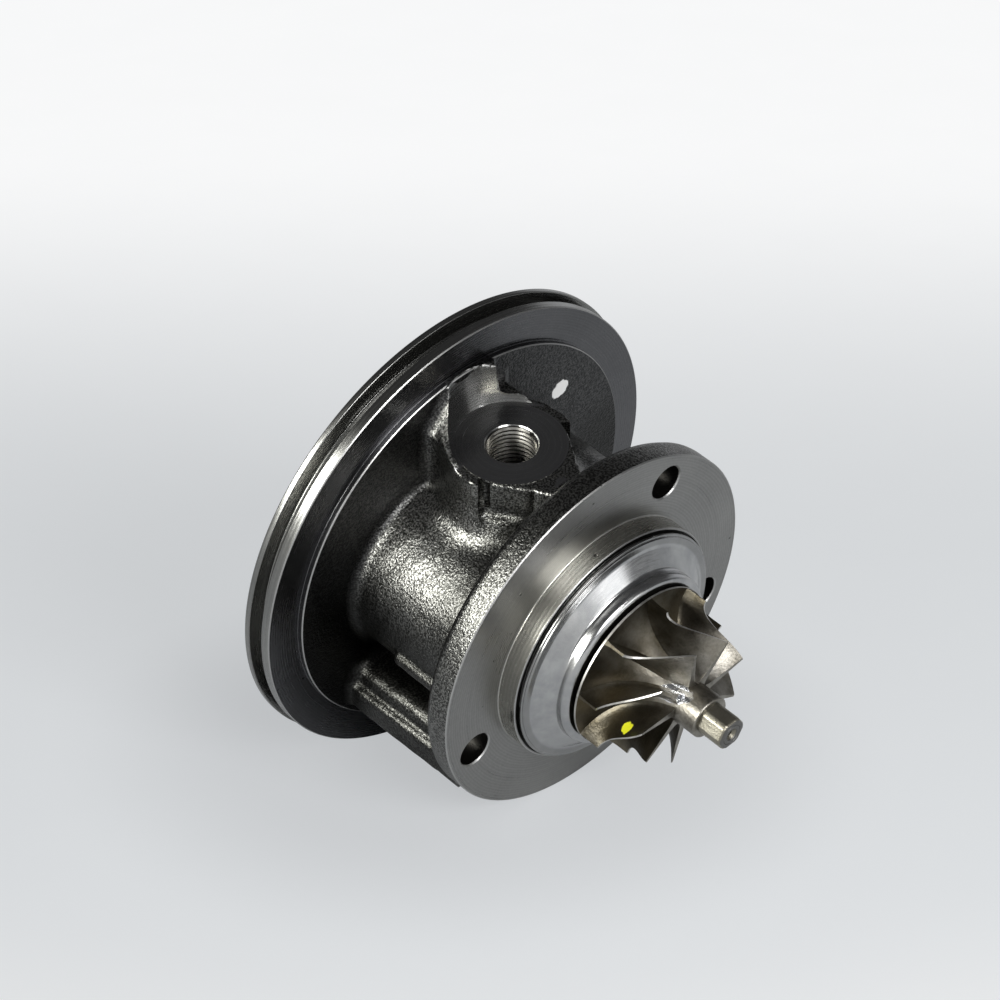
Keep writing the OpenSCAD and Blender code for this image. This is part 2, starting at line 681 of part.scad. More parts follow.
module turbine_wheel() {
    hub_r = turbine_hub_d / 2;
    color("rosybrown") difference() {
        union() {
            turned() difference() {
                polygon([[0, weld_y], [seal_hub_d / 2, weld_y], [seal_hub_d / 2, -turbine_back],
                    [turbine_d / 2, -turbine_back], [turbine_d / 2, turbine_face],
                    [turbine_d / 2, turbine_face - turbine_hub_arc], [hub_r, turbine_face - turbine_hub_arc],
                    [hub_r, turbine_hub_y + edge_chamfer], [hub_r - edge_chamfer, turbine_hub_y],
                    [0, turbine_hub_y]]);
                translate([turbine_d / 2, turbine_face - turbine_hub_arc]) circle(turbine_hub_arc);
            }
            intersection() {
                translate([0, nose_y, 0]) rotate([-90, 0, 0])
                    cylinder(d = nose_flats / cos(30), h = nose_l + past, $fn = 6);
                turned() polygon([[0, nose_y], [nose_d / 2 - edge_chamfer, nose_y],
                    [nose_d / 2, nose_y + edge_chamfer], [nose_d / 2, turbine_hub_y + past],
                    [0, turbine_hub_y + past]]);
            }
            for (i = [0:turbine_blades - 1]) rotate([0, -turbine_phase - i * 360 / turbine_blades, 0])
                blade(turbine_d / 2, turbine_outlet_d / 2, turbine_hub_arc, turbine_inlet_w,
                    turbine_blade_l, turbine_face, -1, -turbine_wrap, turbine_root_t, turbine_tip_t);
        }
        turned() polygon([[0, nose_y - past], [centre_r, nose_y - past], [centre_r, nose_y],
            [centre_r / 2, nose_y + centre_r], [0, nose_y + 1.4 * centre_r]]);
    }
}

module rotor_shaft() {
    groove_r = seal_bore_d / 2 - piston_ring_w - ring_floor;
    fillet = 1;
    color("lightsteelblue") turned() difference() {
        polygon([[0, weld_y], [seal_hub_d / 2, weld_y], [seal_hub_d / 2, seal_hub_end_y],
            [journal_d / 2 + fillet, seal_hub_end_y], [journal_d / 2, seal_hub_end_y + fillet],
            [journal_d / 2, washer_y], [stub_d / 2, washer_y], [stub_d / 2, shaft_end_y - edge_chamfer],
            [stub_d / 2 - edge_chamfer, shaft_end_y], [0, shaft_end_y]]);
        translate([groove_r, turbine_seal_ring_y - ring_side])
            square([piston_ring_w + past, piston_ring_t + 2 * ring_side]);
        translate([journal_d / 2 - waist_depth, relief_y0]) square([past, relief_y1 - relief_y0]);
    }
}

module turbine_piston_ring() {
    color("slategray") split_ring(seal_bore_d, seal_bore_d - 2 * piston_ring_w, turbine_seal_ring_y,
        turbine_seal_ring_y + piston_ring_t, ring_slot, 100);
}

// Floating bush with its ring of oil holes
module journal_bearing(y0) {
    color("goldenrod") difference() {
        ring(bush_d, journal_d + 2 * journal_clearance, y0, y0 + bush_l);
        for (angle = [0:60:300]) rotate([0, angle, 0]) translate([0, y0 + bush_l / 2, 0])
            cylinder(d = bush_hole_d, h = bush_d);
    }
}

module turbine_journal_bearing() {
    journal_bearing(turbine_bush_y);
}

module compressor_journal_bearing() {
    journal_bearing(compressor_bush_y);
}

// Snap ring in a groove of the bearing bore
module snap_ring(groove_y) {
    outer_d = bearing_bore_d + 2 * snap_groove_depth - 2 * ring_side;
    color("darkgray") split_ring(outer_d, outer_d - 2 * snap_ring_w, groove_y + ring_side,
        groove_y + ring_side + snap_ring_t, snap_slot, 90);
}

module turbine_bearing_outer_ring() {
    snap_ring(outer_ring_y);
}

module turbine_bearing_inner_ring() {
    snap_ring(inner_ring_y);
}

module compressor_bearing_ring() {
    snap_ring(compressor_ring_y);
}

module thrust_washer() {
    color("lightgray") ring(thrust_washer_d, stub_bore_d, washer_y, washer_y + thrust_washer_t);
}

// Gap at the foot of a plate in the thrust bearing's bore, for the draining oil
module drain_gap(y0, thickness, width) {
    translate([-width / 2, y0 - past, -thrust_bearing_d])
        cube([width, thickness + 2 * past, thrust_bearing_d - thrust_washer_d / 2 - drain_gap_land]);
}

// Thrust bearing plate with pad grooves, pin holes and a gap for the draining oil
module thrust_bearing() {
    color("darkgoldenrod") difference() {
        ring(thrust_bearing_d, thrust_bore_d, thrust_y, thrust_y + thrust_bearing_t);
        at_pins() rod(thrust_pin_d, thrust_y - past, thrust_y + thrust_bearing_t + past);
        for (angle = [30, 150, 270]) rotate([0, -angle, 0]) translate([0, thrust_y - past, -pad_groove_w / 2])
            cube([thrust_washer_d / 2, past + pad_groove_depth, pad_groove_w]);
        drain_gap(thrust_y, thrust_bearing_t, thrust_gap_w);
    }
}

module thrust_bearing_pins() {
    color("gainsboro") at_pins() rod(thrust_pin_d, thrust_y - thrust_pin_depth, thrust_y + thrust_bearing_t);
}

// Collar that runs on the thrust bearing and carries the compressor seal ring
module thrust_collar() {
    groove_r = seal_plate_bore_d / 2 - piston_ring_w - ring_floor;
    flange_end = collar_flange_y + collar_flange_t;
    bore_r = stub_bore_d / 2;
    color("lightgray") turned() difference() {
        polygon([[bore_r, thrust_y - end_float], [collar_neck_d / 2, thrust_y - end_float],
            [collar_neck_d / 2, collar_flange_y], [thrust_washer_d / 2, collar_flange_y],
            [thrust_washer_d / 2, flange_end], [collar_d / 2, flange_end],
            [collar_d / 2, collar_end_y], [bore_r, collar_end_y]]);
        translate([groove_r, compressor_seal_ring_y - ring_side])
            square([piston_ring_w + past, piston_ring_t + 2 * ring_side]);
    }
}

// Sheet baffle behind the thrust bearing, open at its foot for the draining oil
module oil_baffle() {
    color("silver") difference() {
        ring(thrust_bearing_d, baffle_bore_d, baffle_y, baffle_y + baffle_t);
        drain_gap(baffle_y, baffle_t, baffle_gap_w);
    }
}

// Seal plate with a skirt that clamps the baffle, and the bore of the compressor seal ring
module seal_plate() {
    hub_wall = 2.2;
    hub_proud = 0.4;
    hollow_depth = 0.6;
    hub_r = seal_plate_bore_d / 2 + hub_wall;
    hub_y = seal_seat_y - hub_proud;
    hollow_y = seal_seat_y + hollow_depth;
    skirt_r = thrust_bearing_d / 2;
    skirt_t = 2;
    o_ring_y = seal_seat_y + seal_plate_t / 2;
    color("lightgray") turned() difference() {
        polygon([[seal_plate_bore_d / 2, hub_y], [hub_r, hub_y], [hub_r, hollow_y],
            [skirt_r - skirt_t, hollow_y], [skirt_r - skirt_t, seal_skirt_y], [skirt_r, seal_skirt_y],
            [skirt_r, seal_seat_y], [seal_plate_d / 2, seal_seat_y], [seal_plate_d / 2, circlip_y],
            [seal_plate_bore_d / 2, circlip_y]]);
        translate([seal_plate_d / 2 + slide_clearance - o_ring_t, o_ring_y - o_ring_t / 2 - ring_side])
            square([o_ring_t + past, o_ring_t + 2 * ring_side]);
    }
}

module seal_plate_o_ring() {
    centre_r = seal_plate_d / 2 + slide_clearance - o_ring_t / 2;
    color("black") turned() translate([centre_r, seal_seat_y + seal_plate_t / 2]) circle(d = o_ring_t);
}

module seal_plate_circlip() {
    outer_d = seal_plate_d + 2 * circlip_groove_depth - 2 * ring_side;
    band_w = 2;
    lug_d = 3;
    lug_in = 3.2;
    lug_angle = 14;
    eye_d = 1.4;
    gap_w = 7;
    color("darkgray") difference() {
        union() {
            split_ring(outer_d, outer_d - 2 * band_w, circlip_y, circlip_y + circlip_t, gap_w, 90);
            for (side = [-1, 1]) rotate([0, side * lug_angle, 0]) translate([0, 0, outer_d / 2 - lug_in])
                rod(lug_d, circlip_y, circlip_y + circlip_t);
        }
        for (side = [-1, 1]) rotate([0, side * lug_angle, 0]) translate([0, 0, outer_d / 2 - lug_in])
            rod(eye_d, circlip_y - past, circlip_y + circlip_t + past);
    }
}

module compressor_piston_ring() {
    color("slategray") split_ring(seal_plate_bore_d, seal_plate_bore_d - 2 * piston_ring_w,
        compressor_seal_ring_y, compressor_seal_ring_y + piston_ring_t, ring_slot, 60);
}

module compressor_blade(stop) {
    blade(compressor_d / 2, compressor_inlet_d / 2, compressor_hub_arc, compressor_outlet_w,
        compressor_hub_arc - edge_chamfer, compressor_face, 1, compressor_wrap, compressor_root_t,
        compressor_tip_t, stop);
}

module compressor_wheel() {
    rim_r = compressor_d / 2;
    hub_r = compressor_hub_d / 2;
    color("gainsboro") difference() {
        union() {
            turned() difference() {
                polygon([[0, collar_end_y], [rim_r, collar_end_y], [rim_r, compressor_inlet_y],
                    [hub_r, compressor_inlet_y], [hub_r - 2 * edge_chamfer, nut_y], [0, nut_y]]);
                translate([rim_r, compressor_inlet_y]) circle(compressor_hub_arc);
            }
            for (i = [0:compressor_blades - 1]) rotate([0, -i * 360 / compressor_blades, 0]) {
                compressor_blade(1);
                rotate([0, -180 / compressor_blades, 0]) compressor_blade(splitter_share);
            }
        }
        rod(stub_bore_d, collar_end_y - past, nut_y + past);
    }
}

module shaft_nut() {
    color("silver") difference() {
        union() {
            translate([0, nut_y, 0]) rotate([-90, 0, 0])
                cylinder(d = nut_flats / cos(30), h = nut_t, $fn = 6);
            rod(nut_flats + nut_washer, nut_y, nut_y + nut_washer);
        }
        rod(stub_bore_d, nut_y - past, nut_y + nut_t + past);
    }
}

bearing_housing();
heat_shield();
turbine_wheel();
rotor_shaft();
turbine_piston_ring();
turbine_journal_bearing();
compressor_journal_bearing();
turbine_bearing_outer_ring();
turbine_bearing_inner_ring();
compressor_bearing_ring();
thrust_washer();
thrust_bearing();
thrust_bearing_pins();
thrust_collar();
oil_baffle();
seal_plate();
seal_plate_o_ring();
seal_plate_circlip();
compressor_piston_ring();
compressor_wheel();
shaft_nut();
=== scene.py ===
import math

import bmesh
import bpy
import numpy as np
from mathutils import Matrix, Vector


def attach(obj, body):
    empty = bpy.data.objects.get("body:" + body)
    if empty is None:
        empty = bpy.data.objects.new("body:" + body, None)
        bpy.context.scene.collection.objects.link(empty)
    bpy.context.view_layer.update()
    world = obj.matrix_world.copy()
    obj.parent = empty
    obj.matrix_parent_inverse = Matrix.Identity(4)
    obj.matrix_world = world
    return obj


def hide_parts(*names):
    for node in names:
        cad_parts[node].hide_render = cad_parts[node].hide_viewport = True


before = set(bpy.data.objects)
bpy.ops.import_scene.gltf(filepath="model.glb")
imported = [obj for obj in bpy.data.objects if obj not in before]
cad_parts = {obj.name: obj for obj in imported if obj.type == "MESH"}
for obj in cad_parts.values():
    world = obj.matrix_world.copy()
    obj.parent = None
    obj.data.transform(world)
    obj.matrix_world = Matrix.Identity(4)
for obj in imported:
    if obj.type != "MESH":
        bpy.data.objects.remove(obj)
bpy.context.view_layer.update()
MM = 0.001

# Places that several shapes share, in millimetres and degrees
INLET_Y = 22.5
SEAT_Z = 32.7
SEAT_R = 11.1
SEAT_DRAFT = 0.24
BOLT_ANGLES = (57, 196, -22)
BOLT_CIRCLE_R = 32
BOLT_R = 3.5
# Stage: the way up from the table, and the place on it under the body, in metres
TABLE_UP = (0.257, 0.272, 0.928)
UNDER_BODY = (-0.008, 0.026, -0.037)


# Shader graphs: sockets that take part in Python expressions

class Value:
    """A socket of a shader graph, with arithmetic that adds Math nodes."""

    def __init__(self, graph, socket):
        self.graph = graph
        self.socket = socket

    def math(self, operation, *others):
        return self.graph.node("ShaderNodeMath", {"operation": operation}, *(self, *others))

    def __add__(self, other):
        return self.math("ADD", other)

    def __sub__(self, other):
        return self.math("SUBTRACT", other)

    def __mul__(self, other):
        return self.math("MULTIPLY", other)

    def __truediv__(self, other):
        return self.math("DIVIDE", other)

    def __pow__(self, other):
        return self.math("POWER", other)

    def __gt__(self, other):
        return self.math("GREATER_THAN", other)

    def __lt__(self, other):
        return self.math("LESS_THAN", other)

    def __rsub__(self, other):
        return self.graph.node("ShaderNodeMath", {"operation": "SUBTRACT"}, other, self)

    __radd__ = __add__
    __rmul__ = __mul__

    def clamp(self):
        return self.graph.node("ShaderNodeClamp", {}, self)

    def ramp(self, low, high):
        """0 below low and 1 above high, smooth between."""
        return self.graph.node("ShaderNodeMapRange", {"interpolation_type": "SMOOTHSTEP"}, self, low, high, 0.0, 1.0)


class Graph:
    """The nodes of one material or world."""

    def __init__(self, owner):
        owner.use_nodes = True
        self.tree = owner.node_tree
        self.tree.nodes.clear()

    def node(self, kind, settings, *inputs, out=0, **named):
        """Adds a node. Settings come first, then its sockets by place or, with spaces as _, by name."""
        made = self.tree.nodes.new(kind)
        for key, value in settings.items():
            setattr(made, key, value)
        pairs = list(enumerate(inputs)) + [(key.replace("_", " "), value) for key, value in named.items()]
        for key, value in pairs:
            if isinstance(value, Value):
                self.tree.links.new(value.socket, made.inputs[key])
            elif value is not None:
                made.inputs[key].default_value = value
        return Value(self, made.outputs[out] if made.outputs else None)

    def place(self):
        """The point on the piece, in metres."""
        return self.node("ShaderNodeTexCoord", {}, out=3)

    def xyz(self, point):
        return [self.node("ShaderNodeSeparateXYZ", {}, point, out=k) for k in range(3)]

    def noise(self, point, scale, detail=3.0, rough=0.55):
        return self.node("ShaderNodeTexNoise", {}, Vector=point, Scale=scale, Detail=detail, Roughness=rough)

    def grains(self, point, scale):
        return self.node("ShaderNodeTexVoronoi", {"feature": "F1"}, Vector=point, Scale=scale)

    def mix(self, factor, a, b):
        colours = [c if isinstance(c, Value) else (*c, 1.0) for c in (a, b)]
        made = self.tree.nodes.new("ShaderNodeMix")
        made.data_type = "RGBA"
        for index, value in ((0, factor), (6, colours[0]), (7, colours[1])):
            if isinstance(value, Value):
                self.tree.links.new(value.socket, made.inputs[index])
            else:
                made.inputs[index].default_value = value
        return Value(self, made.outputs[2])

    def bump(self, height, strength, depth, normal=None):
        return self.node("ShaderNodeBump", {}, Height=height, Strength=strength, Distance=depth, Normal=normal)

    def surface(self, **sockets):
        shader = self.node("ShaderNodeBsdfPrincipled", {}, **sockets)
        self.node("ShaderNodeOutputMaterial", {}, Surface=shader)


def dab(graph, point, spot, along, long, wide, ragged=0.5):
    """Mask of a hand-dabbed mark: its middle, the way it runs, and half its length and width, in millimetres."""
    away = graph.node("ShaderNodeVectorMath", {"operation": "SUBTRACT"}, point, tuple(c * MM for c in spot))
    run = graph.node("ShaderNodeVectorMath", {"operation": "DOT_PRODUCT"}, away, along, out=1)
    reach = graph.node("ShaderNodeVectorMath", {"operation": "LENGTH"}, away, out=1)
    side = (reach * reach - run * run).math("MAXIMUM", 0.0)
    edge = ((run / (long * MM)) ** 2.0 + side / (wide * MM) ** 2) ** 0.5
    edge = edge + (graph.noise(point, 900.0, 2.0) - 0.5) * ragged
    return 1.0 - edge.ramp(0.85, 1.0)


# Materials

def cast_iron():
    """Sand-cast iron: dark with a fine bright grain, and painted shade below, near the flange and on the web.

    It has a paint dab and a green smudge. The drain face is cut."""
    made = bpy.data.materials.new("cast_iron")
    g = Graph(made)
    p = g.place()
    x, y, z = g.xyz(p)
    cut = (z < -0.02545) * (y > 0.0062) * (y < 0.0350)
    grain = g.noise(p, 2700.0, 2.5, 0.6)
    lumps = g.noise(p, 1250.0, 2.0, 0.5)
    patches = g.noise(p, 90.0, 4.0, 0.6)
    skin_tone = g.mix(grain.ramp(0.40, 0.64), (0.044, 0.044, 0.041), (0.33, 0.33, 0.316))
    skin_tone = g.mix(patches.ramp(0.45, 0.75) * 0.35, skin_tone, (0.06, 0.058, 0.052))
    # Painted shade: the web face and the casting just in front of it are painted darker.
    skin_tone = g.mix(y.ramp(0.0332, 0.0350) * 0.76, skin_tone, (0.020, 0.020, 0.022))
    # Painted shade: darker on the lower side, towards the flange below the column top, and on the flange rim.
    behind_flange = y.ramp(0.0060, 0.0066)
    shade = (1.0 - z.ramp(0.0000, 0.0150)) * 0.74
    shade = shade.math("MAXIMUM", (1.0 - y.ramp(0.0100, 0.0265)) * (1.0 - z.ramp(0.0255, 0.0290)) * 0.72)
    shade = (shade * behind_flange).math("MAXIMUM", (1.0 - behind_flange) * 0.30)
    skin_tone = g.mix(shade, skin_tone, (0.016, 0.016, 0.014))
    paint = dab(g, p, (25.2, 35.3, 21.0), (0.87, 0.0, 0.49), 2.3, 2.0)
    smudge = dab(g, p, (12.5, 35.3, 26.0), (0.8, 0.0, 0.6), 1.6, 1.0, 1.6) * 0.5
    lines = ((x - y) * 9000.0 + g.noise(p, 300.0) * 9.0).math("SINE") * 0.5 + 0.5
    colour = g.mix(cut, skin_tone, (0.26, 0.26, 0.26))
    colour = g.mix(smudge, colour, (0.01, 0.10, 0.06))
    colour = g.mix(paint, colour, (0.92, 0.92, 0.91))
    rough = (0.24 + patches * 0.13) * (1.0 - cut) + (0.24 + lines * 0.06) * cut
    metal = (1.0 - paint) * (1.0 - smudge)
    height = (grain * 0.6 + lumps * 0.5) * ((1.0 - cut) * 0.94 + 0.06) * (1.0 - paint * 0.8)
    g.surface(Base_Color=colour, Roughness=rough + paint * 0.3, Metallic=metal, Normal=g.bump(height, 1.0, 0.00018))
    return made


def turned_iron(name, light, dark, rough, marks=0.35, inlet=False):
    """Turned iron: circular tool marks about the rotor axis or the oil inlet, stains and small casting pores."""
    made = bpy.data.materials.new(name)
    g = Graph(made)
    p = g.place()
    x, y, z = g.xyz(p)
    if inlet:
        radius = (x * x + (y - INLET_Y * MM) * (y - INLET_Y * MM)) ** 0.5 + z * 0.7
    else:
        radius = (x * x + z * z) ** 0.5 + y * 0.7
    turning = (radius * 11000.0 + g.noise(p, 160.0) * 5.0).math("SINE") * 0.5 + 0.5
    bands = g.noise(g.node("ShaderNodeCombineXYZ", {}, radius, 0.0, 0.0), 900.0, 3.0, 0.6)
    wander = g.noise(p, 45.0, 5.0, 0.62)
    fine = g.noise(p, 1500.0, 2.0)
    pores, relief = (0.0, 0.12) if inlet else (1.0, 0.35)
    pits = (1.0 - g.grains(p, 210.0).ramp(0.04, 0.09)) * (g.noise(p, 95.0, 1.0) > 0.55) * pores
    tone = wander * 0.9 + bands * 0.6 - 0.25 + (fine - 0.5) * 0.45 + (turning - 0.5) * 0.2
    colour = g.mix(tone.clamp(), dark, light)
    colour = g.mix(pits * 0.8, colour, (0.02, 0.02, 0.02))
    shine = rough + (wander - 0.5) * 0.2 + (bands - 0.5) * 0.16 + turning * 0.03
    normal = g.bump(turning * marks + bands * 0.8 + fine * 0.25 - pits * 3.0, relief, 0.00006)
    g.surface(Base_Color=colour, Roughness=shine.clamp(), Metallic=1.0, Normal=normal)
    return made


def shield_steel():
    """Bright stamped stainless sheet with draw marks round it and smeared handling marks."""
    made = bpy.data.materials.new("shield_steel")
    g = Graph(made)
    p = g.place()
    x, y, z = g.xyz(p)
    radius = (x * x + z * z) ** 0.5
    drawn = g.noise(g.node("ShaderNodeCombineXYZ", {}, radius * 30.0, x * 2.0, z * 2.0), 90.0, 4.0, 0.6)
    smears = g.noise(p, 120.0, 5.0, 0.65)
    colour = g.mix(smears.ramp(0.35, 0.75), (0.40, 0.405, 0.41), (0.58, 0.58, 0.575))
    colour = g.mix(radius.ramp(0.0222, 0.0228) * 0.55, colour, (0.22, 0.22, 0.213))
    shine = 0.09 + smears * 0.14 + drawn * 0.09
    g.surface(Base_Color=colour, Roughness=shine, Metallic=1.0,
              Normal=g.bump(drawn * 0.6 + smears * 0.5, 0.25, 0.00008))
    return made


def turbine_alloy():
    """Investment-cast alloy: olive brown-grey, mottled, with smoke stains, and painted shade towards the back and on
    back-facing sides.

    It has a ground place and a yellow dab."""
    made = bpy.data.materials.new("turbine_alloy")
    g = Graph(made)
    p = g.place()
    x, y, z = g.xyz(p)
    mottle = g.noise(p, 260.0, 5.0, 0.62)
    skin_grain = g.noise(p, 1900.0, 3.0, 0.6)
    smoke = g.noise(p, 95.0, 3.0, 0.5)
    shaded_depth = y.ramp(-0.0240, -0.0150)
    nose = 1.0 - y.ramp(-0.0300, -0.0290)
    end = 1.0 - y.ramp(-0.03470, -0.03455)
    warm = g.mix(mottle.ramp(0.3, 0.72), (0.145, 0.135, 0.115), (0.35, 0.335, 0.300))
    warm = g.mix((skin_grain - 0.35).clamp() * 0.9, warm, (0.45, 0.43, 0.39))
    warm = g.mix(smoke.ramp(0.5, 0.75) * 0.5, warm, (0.17, 0.146, 0.100))
    shaded_side = g.xyz(g.node("ShaderNodeTexCoord", {}, out=1))[1].ramp(-0.25, 0.40)
    # Painted shade: darker towards the wheel's back and on faces that turn back, except on the nose.
    warm = g.mix(shaded_depth * (0.45 + smoke * 0.45), warm, (0.048, 0.037, 0.016))
    warm = g.mix(shaded_side * (1.0 - nose) * (0.60 + smoke * 0.4), warm, (0.042, 0.032, 0.015))
    warm = g.mix(nose * 0.7, warm, (0.26, 0.245, 0.195))
    warm = g.mix(end * 0.8, warm, (0.13, 0.13, 0.132))
    ground = dab(g, p, (-2.7, -23.0, 3.6), (0.29, -0.89, 0.356), 4.0, 1.9, 0.4)
    warm = g.mix(ground * 0.9, warm, (0.72, 0.73, 0.75))
    yellow = dab(g, p, (-11.4, -19.35, -1.6), (0.75, -0.1, 0.65), 1.45, 1.5, 0.8)
    colour = g.mix(yellow, warm, (0.46, 0.46, 0.004))
    rough = (0.31 + mottle * 0.16) * (1.0 - ground) + ground * 0.18 + yellow * 0.25
    normal = g.bump(skin_grain * 0.8 + mottle * 0.4, 0.6, 0.00012)
    g.surface(Base_Color=colour, Roughness=rough, Metallic=1.0 - yellow, Normal=normal)
    return made


def plain_metal(name, light, dark, rough, scale, depth=0.00003):
    """Finished metal with turning lines, handling marks and uneven shine."""
    made = bpy.data.materials.new(name)
    g = Graph(made)
    p = g.place()
    x, y, z = g.xyz(p)
    turning = (((x * x + z * z) ** 0.5 + y) * 7000.0).math("SINE") * 0.5 + 0.5
    marks = g.noise(p, scale, 5.0, 0.6)
    colour = g.mix(marks.ramp(0.3, 0.7), dark, light)
    g.surface(Base_Color=colour, Roughness=rough + (marks - 0.5) * 0.2 + turning * 0.04, Metallic=1.0,
              Normal=g.bump(turning * 0.4 + marks * 0.6, 0.3, depth))
    return made


def seal_rubber():
    made = bpy.data.materials.new("seal_rubber")
    g = Graph(made)
    p = g.place()
    bloom = g.noise(p, 300.0, 4.0)
    g.surface(Base_Color=g.mix(bloom, (0.012, 0.012, 0.012), (0.03, 0.03, 0.03)), Roughness=0.45 + bloom * 0.25,
              Normal=g.bump(bloom, 0.2, 0.00005))
    return made


iron = cast_iron()
turned_face = turned_iron("turned_face", (0.36, 0.358, 0.347), (0.19, 0.189, 0.184), 0.30)
# Painted light: the pilot wall is a lighter copy of the turned face.
lit_pilot_wall = turned_iron("lit_pilot_wall", (0.60, 0.59, 0.54), (0.36, 0.352, 0.318), 0.25)
turned_ring = turned_iron("turned_ring", (0.165, 0.165, 0.170), (0.095, 0.095, 0.099), 0.25)
turned_rim = turned_iron("turned_rim", (0.33, 0.33, 0.318), (0.20, 0.20, 0.193), 0.25)
# Painted highlight: chamfers and edges are a lighter copy of the turned iron.
highlit_edge = turned_iron("highlit_edge", (0.52, 0.52, 0.51), (0.36, 0.36, 0.355), 0.34, 0.15)
# Painted shade: bolt hole walls and the groove inside the pilot are painted near black.
shaded_hole_wall = turned_iron("shaded_hole_wall", (0.035, 0.034, 0.031), (0.016, 0.015, 0.014), 0.42)
inlet_face = turned_iron("inlet_face", (0.36, 0.36, 0.36), (0.25, 0.25, 0.251), 0.21, 0.4, True)
seat_wall = turned_iron("seat_wall", (0.40, 0.40, 0.39), (0.28, 0.28, 0.27), 0.19, 0.4, True)
# Painted shade: the inlet bore and its foot are painted near black.
shaded_inlet_wall = turned_iron("shaded_inlet_wall", (0.06, 0.058, 0.052), (0.03, 0.029, 0.026), 0.34, 0.3, True)
thread_flank = turned_iron("thread_flank", (0.44, 0.43, 0.40), (0.30, 0.29, 0.27), 0.25, 0.2, True)
sheet = shield_steel()
alloy = turbine_alloy()
blade_edge = plain_metal("blade_edge", (0.64, 0.63, 0.60), (0.46, 0.45, 0.425), 0.38, 500.0)
shaft_steel = plain_metal("shaft_steel", (0.62, 0.62, 0.63), (0.48, 0.48, 0.49), 0.22, 400.0)
lapped_steel = plain_metal("lapped_steel", (0.55, 0.55, 0.56), (0.42, 0.42, 0.43), 0.26, 500.0)
spring_steel = plain_metal("spring_steel", (0.20, 0.20, 0.21), (0.12, 0.12, 0.13), 0.36, 600.0)
ring_iron = plain_metal("ring_iron", (0.24, 0.24, 0.25), (0.16, 0.16, 0.17), 0.38, 700.0)
bronze = plain_metal("bronze", (0.72, 0.52, 0.26), (0.56, 0.38, 0.17), 0.27, 350.0)
plate_alloy = plain_metal("plate_alloy", (0.74, 0.745, 0.75), (0.62, 0.625, 0.63), 0.32, 250.0)
wheel_alloy = plain_metal("wheel_alloy", (0.62, 0.625, 0.63), (0.48, 0.485, 0.49), 0.34, 420.0, 0.00006)
nut_steel = plain_metal("nut_steel", (0.46, 0.46, 0.46), (0.30, 0.295, 0.285), 0.34, 500.0)
rubber = seal_rubber()


# Mesh helpers, in millimetres

def piece(name, verts, faces, materials, tags=None, sharp=32.0, weld=0.0):
    """A mesh object at the origin, with its normals outwards and its creases sharp."""
    mesh = bpy.data.meshes.new(name)
    mesh.from_pydata((np.asarray(verts, float) * MM).tolist(), [], faces)
    for material in materials:
        mesh.materials.append(material)
    if tags is not None:
        mesh.polygons.foreach_set("material_index", tags)
    work = bmesh.new()
    work.from_mesh(mesh)
    if weld:
        bmesh.ops.remove_doubles(work, verts=work.verts, dist=weld * MM)
    bmesh.ops.delete(work, geom=[v for v in work.verts if not v.link_faces], context="VERTS")
    bmesh.ops.recalc_face_normals(work, faces=work.faces)
    work.to_mesh(mesh)
    work.free()
    return shown(name, mesh, sharp)


def shown(name, mesh, sharp):
    mesh.shade_smooth()
    mesh.set_sharp_from_angle(angle=math.radians(sharp))
    made = bpy.data.objects.new(name, mesh)
    bpy.context.scene.collection.objects.link(made)
    return made


def settled(made, name, sharp=32.0):
    """The object with its modifiers worked into a plain mesh."""
    mesh = bpy.data.meshes.new_from_object(made.evaluated_get(bpy.context.evaluated_depsgraph_get()))
    bpy.data.objects.remove(made)
    mesh.name = name
    return shown(name, mesh, sharp)


def eased(corners, hold=0.18):
    """A closed profile of (radius, place, corner radius, tag): corners rounded, faces held flat up to them.

    The tag is the material of the side that follows the corner."""
    points, tags = [], []
    count = len(corners)
    for i, (r, y, ease, tag) in enumerate(corners):
        here = np.array([r, y])
        before = np.array(corners[i - 1][:2]) - here
        after = np.array(corners[(i + 1) % count][:2]) - here
        reach_b, reach_a = np.linalg.norm(before), np.linalg.norm(after)
        before, after = before / reach_b, after / reach_a
        if ease <= 0:
            points.append(here)
            tags.append(tag)
            continue
        half = math.acos(np.clip(np.dot(before, after), -1, 1)) / 2
        cut = min(ease / math.tan(half), 0.45 * reach_b, 0.45 * reach_a)
        ease = cut * math.tan(half)
        centre = here + (before + after) / np.linalg.norm(before + after) * ease / math.sin(half)
        start, end = here + before * cut, here + after * cut
        if reach_b > 4 * cut:
            points.append(start + before * min(hold, 0.1 * reach_b))
            tags.append(corners[i - 1][3])
        for k in range(5):
            mid = start + (end - start) * k / 4 - centre
            points.append(centre + mid / np.linalg.norm(mid) * ease)
            tags.append(tag if k > 1 else corners[i - 1][3])
        if reach_a > 4 * cut:
            points.append(end + after * min(hold, 0.1 * reach_a))
            tags.append(tag)
    return np.array(points), tags


def turned(name, corners, materials, segments=224, sharp=32.0):
    """A closed profile turned about the rotor axis."""
    points, tags = eased(corners)
    count = len(points)
    angle = np.arange(segments) * 2 * np.pi / segments
    ring = np.stack([np.cos(angle), np.zeros(segments), np.sin(angle)], 1)
    verts = (points[:, None, :1] * ring[None] + points[:, None, 1:] * np.array([0.0, 1.0, 0.0])).reshape(-1, 3)
    faces, face_tags = [], []
    for i in range(count):
        j = (i + 1) % count
        if points[i][0] == 0 and points[j][0] == 0:
            continue
        for k in range(segments):
            n = (k + 1) % segments
            faces.append((i * segments + k, i * segments + n, j * segments + n, j * segments + k))
            face_tags.append(tags[i])
    return piece(name, verts, faces, materials, face_tags, sharp, weld=0.0005)


def carved(made, cutter, name):
    """made with the cutter's shape taken out of it."""
    cut = made.modifiers.new("cut", "BOOLEAN")
    cut.operation = "DIFFERENCE"
    cut.solver = "EXACT"
    cut.material_mode = "TRANSFER"
    cut.object = cutter
    result = settled(made, name)
    bpy.data.objects.remove(cutter)
    return result


